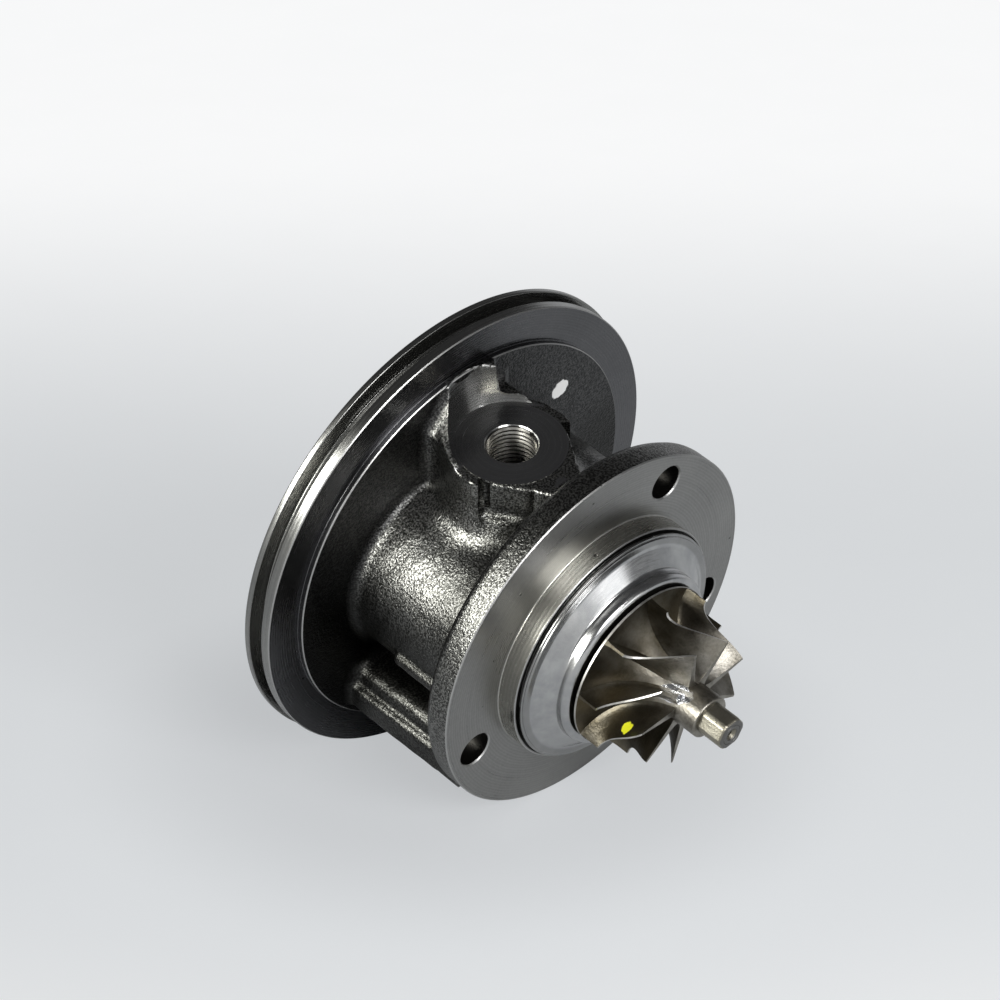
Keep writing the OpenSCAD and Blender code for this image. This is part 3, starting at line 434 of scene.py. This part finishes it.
def copies_round_axis():
    """Geometry Nodes: the object's own mesh, repeated evenly round the rotor axis."""
    tree = bpy.data.node_groups.new("copies_round_axis", "GeometryNodeTree")
    for name, kind, way in (("Shape", "NodeSocketGeometry", "INPUT"), ("Count", "NodeSocketInt", "INPUT"),
                            ("First angle", "NodeSocketFloat", "INPUT"), ("Finish", "NodeSocketMaterial", "INPUT"),
                            ("Result", "NodeSocketGeometry", "OUTPUT")):
        tree.interface.new_socket(name, in_out=way, socket_type=kind)
    nodes, links = tree.nodes, tree.links
    enter, leave = nodes.new("NodeGroupInput"), nodes.new("NodeGroupOutput")
    line = nodes.new("GeometryNodeMeshLine")
    line.inputs["Offset"].default_value = (0, 0, 0)
    index = nodes.new("GeometryNodeInputIndex")
    share = nodes.new("ShaderNodeMath")
    share.operation = "DIVIDE"
    share.inputs[0].default_value = -2 * math.pi
    step = nodes.new("ShaderNodeMath")
    step.operation = "MULTIPLY"
    turn = nodes.new("ShaderNodeMath")
    turn.operation = "SUBTRACT"
    angles = nodes.new("ShaderNodeCombineXYZ")
    place = nodes.new("GeometryNodeInstanceOnPoints")
    real = nodes.new("GeometryNodeRealizeInstances")
    finish = nodes.new("GeometryNodeSetMaterial")
    links.new(enter.outputs["Count"], line.inputs["Count"])
    links.new(enter.outputs["Count"], share.inputs[1])
    links.new(index.outputs[0], step.inputs[0])
    links.new(share.outputs[0], step.inputs[1])
    links.new(step.outputs[0], turn.inputs[0])
    links.new(enter.outputs["First angle"], turn.inputs[1])
    links.new(turn.outputs[0], angles.inputs["Y"])
    links.new(line.outputs[0], place.inputs["Points"])
    links.new(enter.outputs["Shape"], place.inputs["Instance"])
    links.new(angles.outputs[0], place.inputs["Rotation"])
    links.new(place.outputs[0], real.inputs[0])
    links.new(real.outputs[0], finish.inputs["Geometry"])
    links.new(enter.outputs["Finish"], finish.inputs["Material"])
    links.new(finish.outputs[0], leave.inputs[0])
    return tree


def screw_thread():
    """Geometry Nodes: the ridge of a screw thread wound round Z."""
    tree = bpy.data.node_groups.new("screw_thread", "GeometryNodeTree")
    for name, kind, way in (("Shape", "NodeSocketGeometry", "INPUT"), ("Turns", "NodeSocketFloat", "INPUT"),
                            ("Radius", "NodeSocketFloat", "INPUT"), ("Length", "NodeSocketFloat", "INPUT"),
                            ("Ridge", "NodeSocketFloat", "INPUT"), ("Foot", "NodeSocketVector", "INPUT"),
                            ("Finish", "NodeSocketMaterial", "INPUT"), ("Result", "NodeSocketGeometry", "OUTPUT")):
        tree.interface.new_socket(name, in_out=way, socket_type=kind)
    nodes, links = tree.nodes, tree.links
    enter, leave = nodes.new("NodeGroupInput"), nodes.new("NodeGroupOutput")
    spiral = nodes.new("GeometryNodeCurveSpiral")
    spiral.inputs["Resolution"].default_value = 72
    upright = nodes.new("GeometryNodeSetCurveNormal")
    upright.mode = "Z_UP"
    ridge = nodes.new("GeometryNodeCurvePrimitiveCircle")
    ridge.inputs["Resolution"].default_value = 6
    sweep = nodes.new("GeometryNodeCurveToMesh")
    sweep.inputs["Fill Caps"].default_value = True
    move = nodes.new("GeometryNodeTransform")
    real = nodes.new("GeometryNodeRealizeInstances")
    finish = nodes.new("GeometryNodeSetMaterial")
    links.new(enter.outputs["Turns"], spiral.inputs["Rotations"])
    links.new(enter.outputs["Radius"], spiral.inputs["Start Radius"])
    links.new(enter.outputs["Radius"], spiral.inputs["End Radius"])
    links.new(enter.outputs["Length"], spiral.inputs["Height"])
    links.new(enter.outputs["Ridge"], ridge.inputs["Radius"])
    links.new(spiral.outputs[0], upright.inputs["Curve"])
    links.new(upright.outputs[0], sweep.inputs["Curve"])
    links.new(ridge.outputs[0], sweep.inputs["Profile Curve"])
    links.new(sweep.outputs[0], move.inputs["Geometry"])
    links.new(enter.outputs["Foot"], move.inputs["Translation"])
    links.new(move.outputs[0], real.inputs[0])
    links.new(real.outputs[0], finish.inputs["Geometry"])
    links.new(enter.outputs["Finish"], finish.inputs["Material"])
    links.new(finish.outputs[0], leave.inputs[0])
    return tree


def grown(made, tree, name, sharp=32.0, **values):
    """Runs a tree on an object with the named inputs and keeps the plain mesh."""
    grow = made.modifiers.new("grow", "NODES")
    grow.node_group = tree
    for item in tree.interface.items_tree:
        if item.in_out == "INPUT" and item.name in values:
            grow[item.identifier] = values[item.name]
    return settled(made, name, sharp)


def joined(name, parts, sharp=32.0):
    """One plain mesh of several objects, which are removed. Edges that meet are closed."""
    work = bmesh.new()
    materials = []
    for part in parts:
        start = len(work.faces)
        work.from_mesh(part.data)
        work.faces.ensure_lookup_table()
        places = []
        for material in part.data.materials:
            if material not in materials:
                materials.append(material)
            places.append(materials.index(material))
        for face in work.faces[start:]:
            face.material_index = places[face.material_index]
        bpy.data.objects.remove(part)
    bmesh.ops.remove_doubles(work, verts=work.verts, dist=0.0001 * MM)
    bmesh.ops.recalc_face_normals(work, faces=work.faces)
    mesh = bpy.data.meshes.new(name)
    work.to_mesh(mesh)
    work.free()
    for material in materials:
        mesh.materials.append(material)
    return shown(name, mesh, sharp)


# Casting: distances to the shapes of the body, blended as a casting is, and the skin where they come to zero

def blend(a, b, width):
    """Union of two distances with a fillet."""
    share = np.clip(0.5 + 0.5 * (b - a) / width, 0, 1)
    return b * (1 - share) + a * share - width * share * (1 - share)


def meet(a, b, width):
    """Intersection of two distances with an eased edge."""
    return -blend(-a, -b, width)


def both(*distances):
    result = distances[0]
    for distance in distances[1:]:
        result = np.maximum(result, distance)
    return result


def casting_distance(x, y, z):
    radius = np.sqrt(x * x + z * z)
    from_inlet = np.sqrt(x * x + (y - INLET_Y) ** 2)
    side = np.abs(x)
    oval = np.sqrt(np.maximum(side - 9.5, 0) ** 2 + (z - 1) ** 2) - 19
    oval = oval + 0 * y
    rib = np.sqrt((side - 27.4) ** 2 + (z + 4.4) ** 2 + np.maximum(y - 22.6, 0) ** 2) - 1.9
    solid = blend(oval, rib, 0.8)
    # Oil inlet column: round, with a neck to the flange, a flat facet and a cast notch on each side
    facet = (side - 10.4) * 0.850 + (19.0 - y) * 0.526
    rim_z = 32.6 + 0.9 * np.clip((-5.0 - x) / 3.0, 0, 1) * np.clip((y - 24.5) / 1.2, 0, 1)
    neck = both(side - 5.2, y - 22)
    column = np.minimum(from_inlet - 12.3, neck)
    column = meet(column, -np.maximum(-facet, y - 19.0), 0.5)
    column = meet(column, z - rim_z, 0.5)
    notch = both(np.sqrt((side - 10.4) ** 2 + (y - 19.0) ** 2) - 1.15, 26.4 - z)
    foot = both((from_inlet - 16.8 + (z - 15.5) * 0.544) * 0.878, np.abs(z - 19.0) - 5.5)
    column = blend(column, foot, 2.2)
    solid = blend(solid, column, 2.0)
    # Pad between the column and the web
    slope_low = (z - SEAT_Z - (x + 9.5) * 0.867) * 0.756
    slope_high = (z - 35.3 - (x + 6.5) * 1.475) * 0.561
    tall = meet(both(-9.5 - x, x - 6.5, radius - 40.7), blend(slope_low, slope_high, 2.5), 0.7)
    step = meet(both(-x, x - 9.7), z - 34.3, 0.9)
    pad = both(blend(tall, step, 1.2), 28.5 - y)
    solid = blend(solid, pad, 1.6)
    # Drain block
    half = 29.8 + 0.7 * np.clip((y - 5.6) / 26.7, 0, 1)
    corner = np.sqrt(np.maximum(side - 25.5, 0) ** 2 + np.maximum(y - 32.3, 0) ** 2) - 5.0
    plate = meet(np.where(y > 32.3, corner, side - half), z + 20.0, 1.6)
    ledge = meet(side - half + 1.7, z + 16.2, 3.4)
    block = blend(plate, ledge, 1.0)
    solid = blend(solid, block, 2.2)
    rough = 0.03 * (np.sin(x * 0.9 + 1.3 * np.sin(y * 0.5)) * np.sin(z * 0.8 + 0.7) + np.sin(y * 1.1 + z * 0.6))
    solid = solid + rough
    near_solid = solid
    # Fillets at the turbine flange and the web, sunk a little below their faces
    flange = both(y - 6.14, radius - 36.4)
    web = both(35.36 - y, radius - 40.8)
    solid = blend(blend(solid, flange, 3.2), web, 2.6)
    solid = both(solid, near_solid - 3.4, 5.6 - y, y - 36.3, -25.5 - z)
    # Cut faces, bores and oil spaces
    spaces = [
        both((from_inlet - SEAT_R - (z - SEAT_Z) * SEAT_DRAFT) * 0.972, SEAT_Z - z),
        both(side - 5.7, y - 19.0, SEAT_Z - z),
        both(from_inlet - 5.6, 21.2 - z), notch,
        radius - 6.6 + 0 * y, both(radius - 9.2, 29.6 - y), both(radius - 15.3, 32.0 - y),
        both(side - 9.5, np.abs(y - 17.0) - 13.0, np.abs(z + 13.05) - 3.75),
        both(side - 6.0, np.abs(y - 30.0) - 3.0, np.abs(z + 13.05) - 3.75),
        both(side - 4.0, np.abs(y - 17.2) - 4.0, np.abs(z + 6.0) - 4.0),
        both(np.sqrt(x * x + (y - 20.75) ** 2) - 7.5, z + 16.0),
        both(np.sqrt((side - 20.5) ** 2 + (y - 20.75) ** 2) - 2.5, z + 17.5),
    ]
    for a in np.radians(BOLT_ANGLES):
        hole = np.sqrt((x - BOLT_CIRCLE_R * math.cos(a)) ** 2 + (z - BOLT_CIRCLE_R * math.sin(a)) ** 2) - BOLT_R
        spaces.append(both(hole, y - 7.2))
    for space in spaces:
        solid = np.maximum(solid, -space)
    return solid


def skin(distance, low, high, step):
    """Quads on the zero level of a distance, with the vertices drawn into its creases."""
    axes = [np.arange(a, b + step, step) for a, b in zip(low, high)]
    field = distance(axes[0][:, None, None], axes[1][None, :, None], axes[2][None, None, :])
    inside = field < 0
    shifts = [(i, j, k) for i in (0, 1) for j in (0, 1) for k in (0, 1)]
    corner = [tuple(slice(s, n - 1 + s) for s, n in zip(shift, field.shape)) for shift in shifts]
    count = sum(inside[place].astype(np.int8) for place in corner)
    mixed = (count > 0) & (count < 8)
    number = np.full(mixed.shape, -1, np.int64)
    number[mixed] = np.arange(mixed.sum())
    base = np.argwhere(mixed)
    total, crossings = np.zeros((len(base), 3)), np.zeros(len(base))
    pull, goal = np.zeros((len(base), 3, 3)), np.zeros((len(base), 3))
    for a in shifts:
        for axis in range(3):
            if a[axis]:
                continue
            b = np.array(a)
            b[axis] = 1
            value_a = field[tuple((base + a).T)]
            value_b = field[tuple((base + b).T)]
            cross = (value_a < 0) != (value_b < 0)
            share = (value_a / np.where(cross, value_a - value_b, 1))[cross]
            point = (base[cross] + a + share[:, None] * (b - np.array(a))) * step + low
            way = facing(distance, point)
            total[cross] += point
            crossings[cross] += 1
            pull[cross] += way[:, :, None] * way[:, None, :]
            goal[cross] += way * (way * point).sum(1)[:, None]
    middle = total / crossings[:, None]
    short = goal - (pull @ middle[:, :, None])[:, :, 0]
    move = np.linalg.solve(pull + 0.05 * np.eye(3), short[:, :, None])[:, :, 0]
    verts = middle + np.clip(move, -0.6 * step, 0.6 * step)
    faces = []
    for axis in range(3):
        u, v = (axis + 1) % 3, (axis + 2) % 3
        lower = [slice(1, n - 1) for n in field.shape]
        lower[axis] = slice(0, field.shape[axis] - 1)
        upper = list(lower)
        upper[axis] = slice(1, field.shape[axis])
        offset = np.ones(3, int)
        offset[axis] = 0
        start = np.argwhere(inside[tuple(lower)] != inside[tuple(upper)]) + offset
        back_u, back_v = np.zeros(3, int), np.zeros(3, int)
        back_u[u], back_v[v] = 1, 1
        corners = [start - back_u - back_v, start - back_v, start, start - back_u]
        faces.append(np.stack([number[tuple(c.T)] for c in corners], 1))
    return verts, np.concatenate(faces)


def facing(distance, point):
    """The way a distance grows at each point, of length 1."""
    probe = 0.02
    slope = np.stack([distance(*(point + probe * axis).T) - distance(*(point - probe * axis).T)
                      for axis in np.eye(3)], 1)
    return slope / np.maximum(np.linalg.norm(slope, axis=1), 1e-9)[:, None]


def housing_casting():
    verts, faces = skin(casting_distance, np.array([-35.0, 4.6, -27.0]), np.array([35.0, 37.2, 42.4]), 0.47)
    middle = verts[faces].mean(1)
    from_inlet = np.hypot(middle[:, 0], middle[:, 1] - INLET_Y)
    above = middle[:, 2] - SEAT_Z
    flat = (np.abs(above) < 0.06) & (middle[:, 1] < 35) & (from_inlet < 13.6)
    wall = (above > 0.06) & (np.abs(from_inlet - SEAT_R - above * SEAT_DRAFT) < 0.12)
    tags = np.where(flat, 1, np.where(wall, 2, 0))
    return piece("housing_casting", verts, faces.tolist(), [iron, inlet_face, seat_wall], tags, sharp=50.0)


def bolt_drill():
    """Drills with chamfers for the flange holes."""
    drills = []
    reach = BOLT_CIRCLE_R * MM
    shape = [(0, -1.0, 0, 0), (4.75, -1.0, 0, 0), (BOLT_R, 0.25, 0, 1), (BOLT_R, 8.0, 0, 1), (0, 8.0, 0, 0)]
    for a in np.radians(BOLT_ANGLES):
        drill = turned("drill", shape, [highlit_edge, shaded_hole_wall], 96)
        drill.data.transform(Matrix.Translation((reach * math.cos(a), 0, reach * math.sin(a))))
        drills.append(drill)
    return joined("drills", drills)


def housing_flange():
    """Turbine flange, pilot, shield land and seal nose: turned faces and a cast rim."""
    cast, face, edge, wall, pilot = 0, 1, 2, 3, 4
    rim = [(6.6, -8.6, 0.2, face), (9.7, -8.6, 0.3, face), (9.7, -2.5, 0.3, face), (20.5, -2.5, 0.3, face),
           (20.5, -4.8, 0.15, face), (23.2, -4.8, 0.15, face), (23.2, -3.8, 0.1, wall), (24.6, -3.8, 0.1, wall),
           (24.6, -4.3, 0.05, face), (24.82, -4.3, 0.04, edge), (25.0, -4.12, 0.04, pilot), (25.0, 0.0, 0.25, face),
           (37.78, 0.0, 0.06, edge), (38.0, 0.22, 0.08, cast),
           (38.0, 6.2, 2.3, cast), (6.6, 6.2, 0, cast), (6.6, 3.2, 0, face), (10.5, 3.2, 0, face),
           (10.5, -0.7, 0, face), (6.6, -0.7, 0, face)]
    plain = turned("flange", rim, [iron, turned_face, highlit_edge, shaded_hole_wall, lit_pilot_wall])
    return carved(plain, bolt_drill(), "housing_flange")


def housing_disc():
    """Compressor disc: cast web, turned ring face, rim, empty seal groove, back face and the seal plate's bore."""
    cast, face, edge, side, back = 0, 1, 2, 3, 4
    rim = [(15.05, 35.3, 0, cast), (41.0, 35.3, 0.08, edge), (41.2, 35.5, 0.08, face), (41.2, 36.5, 0.1, face),
           (48.15, 36.5, 0.06, edge), (48.35, 36.7, 0.08, side), (48.35, 38.6, 0.18, side), (45.55, 38.6, 0.3, side),
           (45.55, 41.2, 0.3, side), (49.0, 41.2, 0.18, side), (49.0, 42.5, 0.3, back), (20.7, 42.5, 0.2, face),
           (20.7, 42.1, 0.1, face), (17.05, 42.1, 0.15, face), (17.05, 41.7, 0, face), (17.8, 41.7, 0, face),
           (17.8, 40.35, 0, face), (17.05, 40.35, 0, face), (17.05, 37.4, 0, face), (15.05, 37.4, 0, face)]
    return turned("housing_disc", rim, [iron, turned_ring, highlit_edge, turned_rim, turned_face], 288)


def inlet_seat():
    """Mouth of the oil inlet: flat face, chamfer, threaded wall and the foot of the hole with its drilling."""
    face, edge, wall, cast = 0, 1, 2, 3
    shape = [(10.4, 32.72, 0, face), (5.05, 32.72, 0.04, edge), (4.86, 32.50, 0, wall), (4.86, 21.7, 0, wall),
             (2.2, 21.3, 0, wall), (1.2, 20.6, 0, cast), (1.1, 19.4, 0, cast), (0, 19.3, 0, cast), (0, 18.8, 0, cast),
             (5.9, 18.8, 0, cast), (5.9, 32.3, 0, cast), (10.4, 32.3, 0, cast)]
    made = turned("inlet_seat", shape, [inlet_face, seat_wall, shaded_inlet_wall, iron], 128)
    made.data.transform(Matrix.Translation((0, INLET_Y * MM, 0)) @ Matrix.Rotation(math.pi / 2, 4, "X"))
    return made


def inlet_thread():
    seed = bpy.data.objects.new("thread_seed", bpy.data.meshes.new("thread_seed"))
    bpy.context.scene.collection.objects.link(seed)
    return grown(seed, screw_thread(), "inlet_thread", 40.0, Turns=10.0, Radius=4.86 * MM, Length=10.0 * MM,
                 Ridge=0.44 * MM, Foot=(0.0, INLET_Y * MM, 22.1 * MM), Finish=thread_flank)


# Wheels

def blade_shape(rim, small, arc, edge_w, length, face, way, wrap, root_t, tip_t, stop=1.0, flare=1.1):
    """A blade between the hub arc and the shroud line, with a cast fillet where it meets the hub.

    Gives the vertices, the faces of its sides and the faces of its turned tip."""
    along, across = 44, 18
    sides = [[], []]
    for i in range(along + 1):
        s = stop * i / along
        embed = 0.5
        hub = np.array([rim - (arc + embed) * math.sin(s * math.pi / 2),
                        face - way * embed + way * (arc + embed) * (1 - math.cos(s * math.pi / 2))])
        scoop = 1 - (1 - s) ** 1.5
        tip = np.array([rim - (rim - small) * math.sin(scoop * math.pi / 2),
                        face + way * (edge_w + (length - edge_w) * (1 - math.cos(s * math.pi / 2)))])
        span = np.linalg.norm(tip - hub)
        turn = math.radians(wrap) * s * s
        widen = 1 + 0.7 * s * s
        for j in range(across + 1):
            v = (j / across) ** 1.5
            at = hub + (tip - hub) * v
            fillet = flare * min(1, 0.2 + 2 * s) * math.exp(-max(v * span - embed, 0) / 0.55)
            thick = root_t * widen + (tip_t - root_t * widen) * min(1, v * (2 - s)) + fillet
            half = thick / 2 / at[0]
            for k, way_round in enumerate((-1, 1)):
                a = turn + way_round * half
                sides[k].append((at[0] * math.cos(a), at[1], at[0] * math.sin(a)))
    rows = across + 1
    size = (along + 1) * rows
    faces, tips = [], []
    for i in range(along):
        for j in range(across):
            a = i * rows + j
            b = size + a
            faces += [(a, a + 1, a + rows + 1, a + rows), (b, b + rows, b + rows + 1, b + 1)]
        top, foot = i * rows + across, i * rows
        tips.append((top, size + top, size + top + rows, top + rows))
        faces.append((foot, foot + rows, size + foot + rows, size + foot))
    for j in range(across):
        first, last = j, along * rows + j
        faces += [(first, size + first, size + first + 1, first + 1), (last, last + 1, size + last + 1, size + last)]
    return sides[0] + sides[1], faces, tips


def bladed(shape, count, first, finish, edge):
    """The copies of a blade round the axis: its sides in the wheel's finish, and its tips turned bright."""
    verts, faces, tips = shape
    made = []
    for name, part, material in (("blade_sides", faces, finish), ("blade_tips", tips, edge)):
        blade = piece(name, verts, part, [material], sharp=40.0)
        values = {"Count": count, "First angle": math.radians(first), "Finish": material}
        made.append(grown(blade, copies, name, 40.0, **values))
    return made


def turbine_nose():
    """Rounded hexagon in front of the hub, with a turned end and a countersunk centre hole."""
    segments = 144
    rings = [(-29.0, 1.0, 0), (-34.15, 1.0, 0), (-34.45, 0.965, 0), (-34.65, 0.91, 0), (-34.75, 0.83, 0),
             (-34.75, 2.15, 1), (-34.67, 2.08, 1), (-34.75, 2.0, 1), (-34.75, 1.35, 1), (-34.1, 0.7, 1),
             (-33.0, 0.65, 1), (-32.7, 0.0, 1)]
    verts, faces = [], []
    for y, share, hole in rings:
        for k in range(segments):
            a = 2 * math.pi * k / segments
            flat = 3.1 / math.cos(a % (math.pi / 3) - math.pi / 6)
            r = share if hole else share * min(3.32, flat)
            verts.append((r * math.cos(a), y, r * math.sin(a)))
    for i in range(len(rings) - 1):
        for k in range(segments):
            n = (k + 1) % segments
            faces.append((i * segments + k, i * segments + n, (i + 1) * segments + n, (i + 1) * segments + k))
    faces.append(tuple(range(segments)))
    return piece("nose", verts, faces, [alloy], weld=0.0005, sharp=24.0)


def arc_points(centre_r, centre_y, radius, start, end, count):
    return [(centre_r + radius * math.cos(a), centre_y + radius * math.sin(a), 0, 0)
            for a in np.radians(np.linspace(start, end, count))]


copies = copies_round_axis()


def turbine_wheel():
    hub = [(0, -9.6, 0, 0), (6.3, -9.6, 0, 0), (6.3, -10.9, 0.3, 0), (16.85, -11.35, 0.05, 1)]
    hub += arc_points(16.85, -24.35, 12.55, 90, 180, 30)
    hub += [(4.3, -29.35, 0.35, 0), (0, -29.35, 0, 0)]
    blades = bladed(blade_shape(16.85, 13.4, 12.55, 4.4, 13.1, -11.8, -1, -35, 0.9, 0.46), 9, 44.8, alloy, blade_edge)
    hub = turned("hub", hub, [alloy, blade_edge], 192, 30.0)
    return joined("turbine_wheel_cast", [hub, *blades, turbine_nose()], 38.0)


def compressor_wheel():
    hub = [(2.41, 43.3, 0, 0), (19.5, 43.3, 0.15, 0)]
    hub += arc_points(19.5, 58.2, 14.0, 270, 180, 30)
    hub += [(4.7, 60.0, 0.3, 0), (2.41, 60.0, 0, 0)]
    parts = [turned("hub", hub, [wheel_alloy], 192, 30.0)]
    for stop, first in ((1.0, 0.0), (0.72, 30.0)):
        shape = blade_shape(19.5, 13.8, 14.0, 2.6, 13.6, 44.2, 1, 52, 0.9, 0.5, stop, 0.8)
        parts += bladed(shape, 6, first, wheel_alloy, plate_alloy)
    return joined("compressor_wheel_cast", parts, 38.0)


def stamped_shield():
    """Heat shield: flat behind the wheel, rolled bead, cone and flat rim, of one sheet thickness."""
    front = [(7.7, -10.6, 0.2, 0), (18.35, -10.6, 1.6, 0), (18.35, -8.0, 0.9, 0), (22.1, -5.6, 0.9, 0),
             (23.75, -5.6, 0.14, 0), (23.85, -5.25, 0.06, 0), (24.3, -5.25, 0.14, 0)]
    back = [(24.3, -4.8, 0.1, 0), (21.85, -4.8, 0.5, 0), (17.55, -7.55, 0.5, 0), (17.55, -9.8, 0.8, 0),
            (7.7, -9.8, 0.2, 0)]
    return turned("stamped_shield", front + back, [sheet], 256, 40.0)


housing_pieces = [housing_casting(), housing_flange(), housing_disc(), inlet_seat(), inlet_thread()]
for made in housing_pieces:
    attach(made, "housing")
    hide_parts("bearing_housing")
for made, node, body, slot in ((stamped_shield(), "heat_shield", "housing", "shield_sheet"),
                               (turbine_wheel(), "turbine_wheel", "rotor", "turbine_alloy"),
                               (compressor_wheel(), "compressor_wheel", "rotor", "wheel_aluminium")):
    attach(made, body)
    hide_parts(node)

finishes = {
    "rotor_shaft": shaft_steel, "turbine_piston_ring": ring_iron, "compressor_piston_ring": ring_iron,
    "turbine_journal_bearing": bronze, "compressor_journal_bearing": bronze, "thrust_bearing": bronze,
    "turbine_bearing_outer_ring": spring_steel, "turbine_bearing_inner_ring": spring_steel,
    "compressor_bearing_ring": spring_steel, "seal_plate_circlip": spring_steel, "thrust_washer": lapped_steel,
    "thrust_bearing_pins": lapped_steel, "thrust_collar": lapped_steel, "oil_baffle": plate_alloy,
    "seal_plate": plate_alloy, "seal_plate_o_ring": rubber, "shaft_nut": nut_steel,
}
for node, material in finishes.items():
    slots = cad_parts[node].material_slots
    for slot in slots:
        slot.link = "OBJECT"
        slot.material = material


# Stage: table top under the lying cartridge, studio light and the photograph's camera

def table_top():
    """Pale table, tangent to the disc and the flange, seen only from above."""
    normal = Vector(TABLE_UP).normalized()
    across = normal.cross(Vector((0, 1, 0))).normalized()
    along = normal.cross(across)
    centre = normal * -0.03665
    mesh = bpy.data.meshes.new("table_top")
    corners = [centre + across * a + along * b for a, b in ((-3, -3), (3, -3), (3, 3), (-3, 3))]
    mesh.from_pydata([tuple(c) for c in corners], [], [(0, 1, 2, 3)])
    if mesh.polygons[0].normal.dot(normal) < 0:
        mesh.flip_normals()
    made = bpy.data.objects.new("table_top", mesh)
    bpy.context.scene.collection.objects.link(made)
    material = bpy.data.materials.new("table_paper")
    g = Graph(material)
    p = g.place()
    away = g.node("ShaderNodeVectorMath", {"operation": "DOT_PRODUCT"}, p, (0.485, 0.502, 0.0), out=1)
    # Painted light: the paper is painted lighter far off and towards the lower corners.
    far = away.ramp(0.06, 0.26)
    shade = g.mix(away.ramp(-0.06, 0.03), (0.86, 0.885, 0.905), (0.84, 0.865, 0.885))
    shade = g.mix(far, shade, (0.975, 0.98, 0.985))
    reach = g.node("ShaderNodeVectorMath", {"operation": "DISTANCE"}, p, UNDER_BODY, out=1)
    shade = g.mix(reach.ramp(0.06, 0.14) * (1.0 - away.ramp(-0.08, -0.02)), shade, (0.97, 0.98, 0.985))
    # Painted shadow: a soft dark patch on the paper under the body.
    shade = g.mix((1.0 - reach.ramp(0.040, 0.085)) * 0.30, shade, (0.45, 0.46, 0.48))
    shade = g.mix(g.noise(p, 40.0, 4.0) * 0.05, shade, (0.60, 0.61, 0.63))
    paper = g.node("ShaderNodeBsdfDiffuse", {}, Color=shade)
    glow = g.node("ShaderNodeEmission", {}, Color=shade, Strength=1.0)
    seen = g.node("ShaderNodeLightPath", {}, out=0)
    mirrored = g.node("ShaderNodeLightPath", {}, out=3)
    # Painted shadow in reflections: the glow that metals reflect from the floor is kept off under the body.
    open_floor = reach.ramp(0.018, 0.050)
    lift = (seen * (0.68 + far * 0.28) + mirrored * open_floor * 0.30).clamp()
    pale = g.node("ShaderNodeMixShader", {}, lift, paper, glow)
    under = g.node("ShaderNodeNewGeometry", {}, out=6)
    clear = g.node("ShaderNodeBsdfTransparent", {})
    g.node("ShaderNodeOutputMaterial", {}, Surface=g.node("ShaderNodeMixShader", {}, under, pale, clear))
    mesh.materials.append(material)
    return made


def studio():
    """A dim room with a pale backdrop behind the table. The camera sees it white."""
    world = bpy.data.worlds.new("studio")
    bpy.context.scene.world = world
    g = Graph(world)
    way = g.node("ShaderNodeTexCoord", {}, out=0)
    behind = g.node("ShaderNodeVectorMath", {"operation": "DOT_PRODUCT"}, way, (0.5, 0.5, 0.71), out=1)
    room = g.mix(behind.ramp(-0.5, 0.55), (0.16, 0.165, 0.17), (0.07, 0.07, 0.072))
    height = g.node("ShaderNodeVectorMath", {"operation": "DOT_PRODUCT"}, way, TABLE_UP, out=1)
    rear = g.node("ShaderNodeVectorMath", {"operation": "DOT_PRODUCT"}, way, (0.7, 0.7, 0.0), out=1)
    room = g.mix((1.0 - height.ramp(0.25, 0.45)) * rear.ramp(0.3, 0.7), room, (0.60, 0.61, 0.63))
    seen = g.node("ShaderNodeLightPath", {}, out=0)
    soft = g.node("ShaderNodeBackground", {}, room, 1.0)
    white = g.node("ShaderNodeBackground", {}, (0.95, 0.95, 0.955, 1.0), 1.0)
    g.node("ShaderNodeOutputWorld", {}, g.node("ShaderNodeMixShader", {}, seen, soft, white))


def softbox(name, place, size, power, flagged=None, tint=(1.0, 1.0, 1.0)):
    """A soft lamp that faces the object. A flag keeps it off one surface."""
    lamp = bpy.data.lights.new(name, "AREA")
    lamp.shape = "RECTANGLE"
    lamp.size, lamp.size_y = size
    lamp.energy = power
    lamp.color = tint
    made = bpy.data.objects.new(name, lamp)
    made.location = place
    if flagged:
        flag = bpy.data.collections.new(name + "_flag")
        flag.objects.link(flagged)
        flag.collection_objects[0].light_linking.link_state = "EXCLUDE"
        made.light_linking.receiver_collection = flag
    made.rotation_euler = (Vector((0, 0.01, 0)) - Vector(place)).to_track_quat("-Z", "Y").to_euler()
    bpy.context.scene.collection.objects.link(made)


def photo_camera():
    data = bpy.data.cameras.new("photo_camera")
    data.sensor_width = 36.0
    data.lens = 115.2
    data.clip_start = 0.01
    made = bpy.data.objects.new("photo_camera", data)
    right, up = Vector((0.72087, -0.69307, 0.00276)), Vector((0.49491, 0.51753, 0.69802))
    back = -Vector((0.48521, 0.50181, -0.71608))
    turn = Matrix((right, up, back)).transposed().to_4x4()
    made.matrix_world = Matrix.Translation((-0.28863, -0.27298, 0.44181)) @ turn
    bpy.context.scene.collection.objects.link(made)
    bpy.context.scene.camera = made


table = table_top()
studio()
softbox("key", (-0.58, 0.18, 0.37), (0.60, 0.26), 10.0, table, (1.0, 1.0, 0.95))
softbox("front_top", (-0.08, -0.50, 0.52), (0.36, 0.30), 4.0)
softbox("front", (0.18, -0.67, 0.14), (0.40, 0.28), 0.8)
photo_camera()
bpy.context.scene.view_settings.view_transform = "Standard"
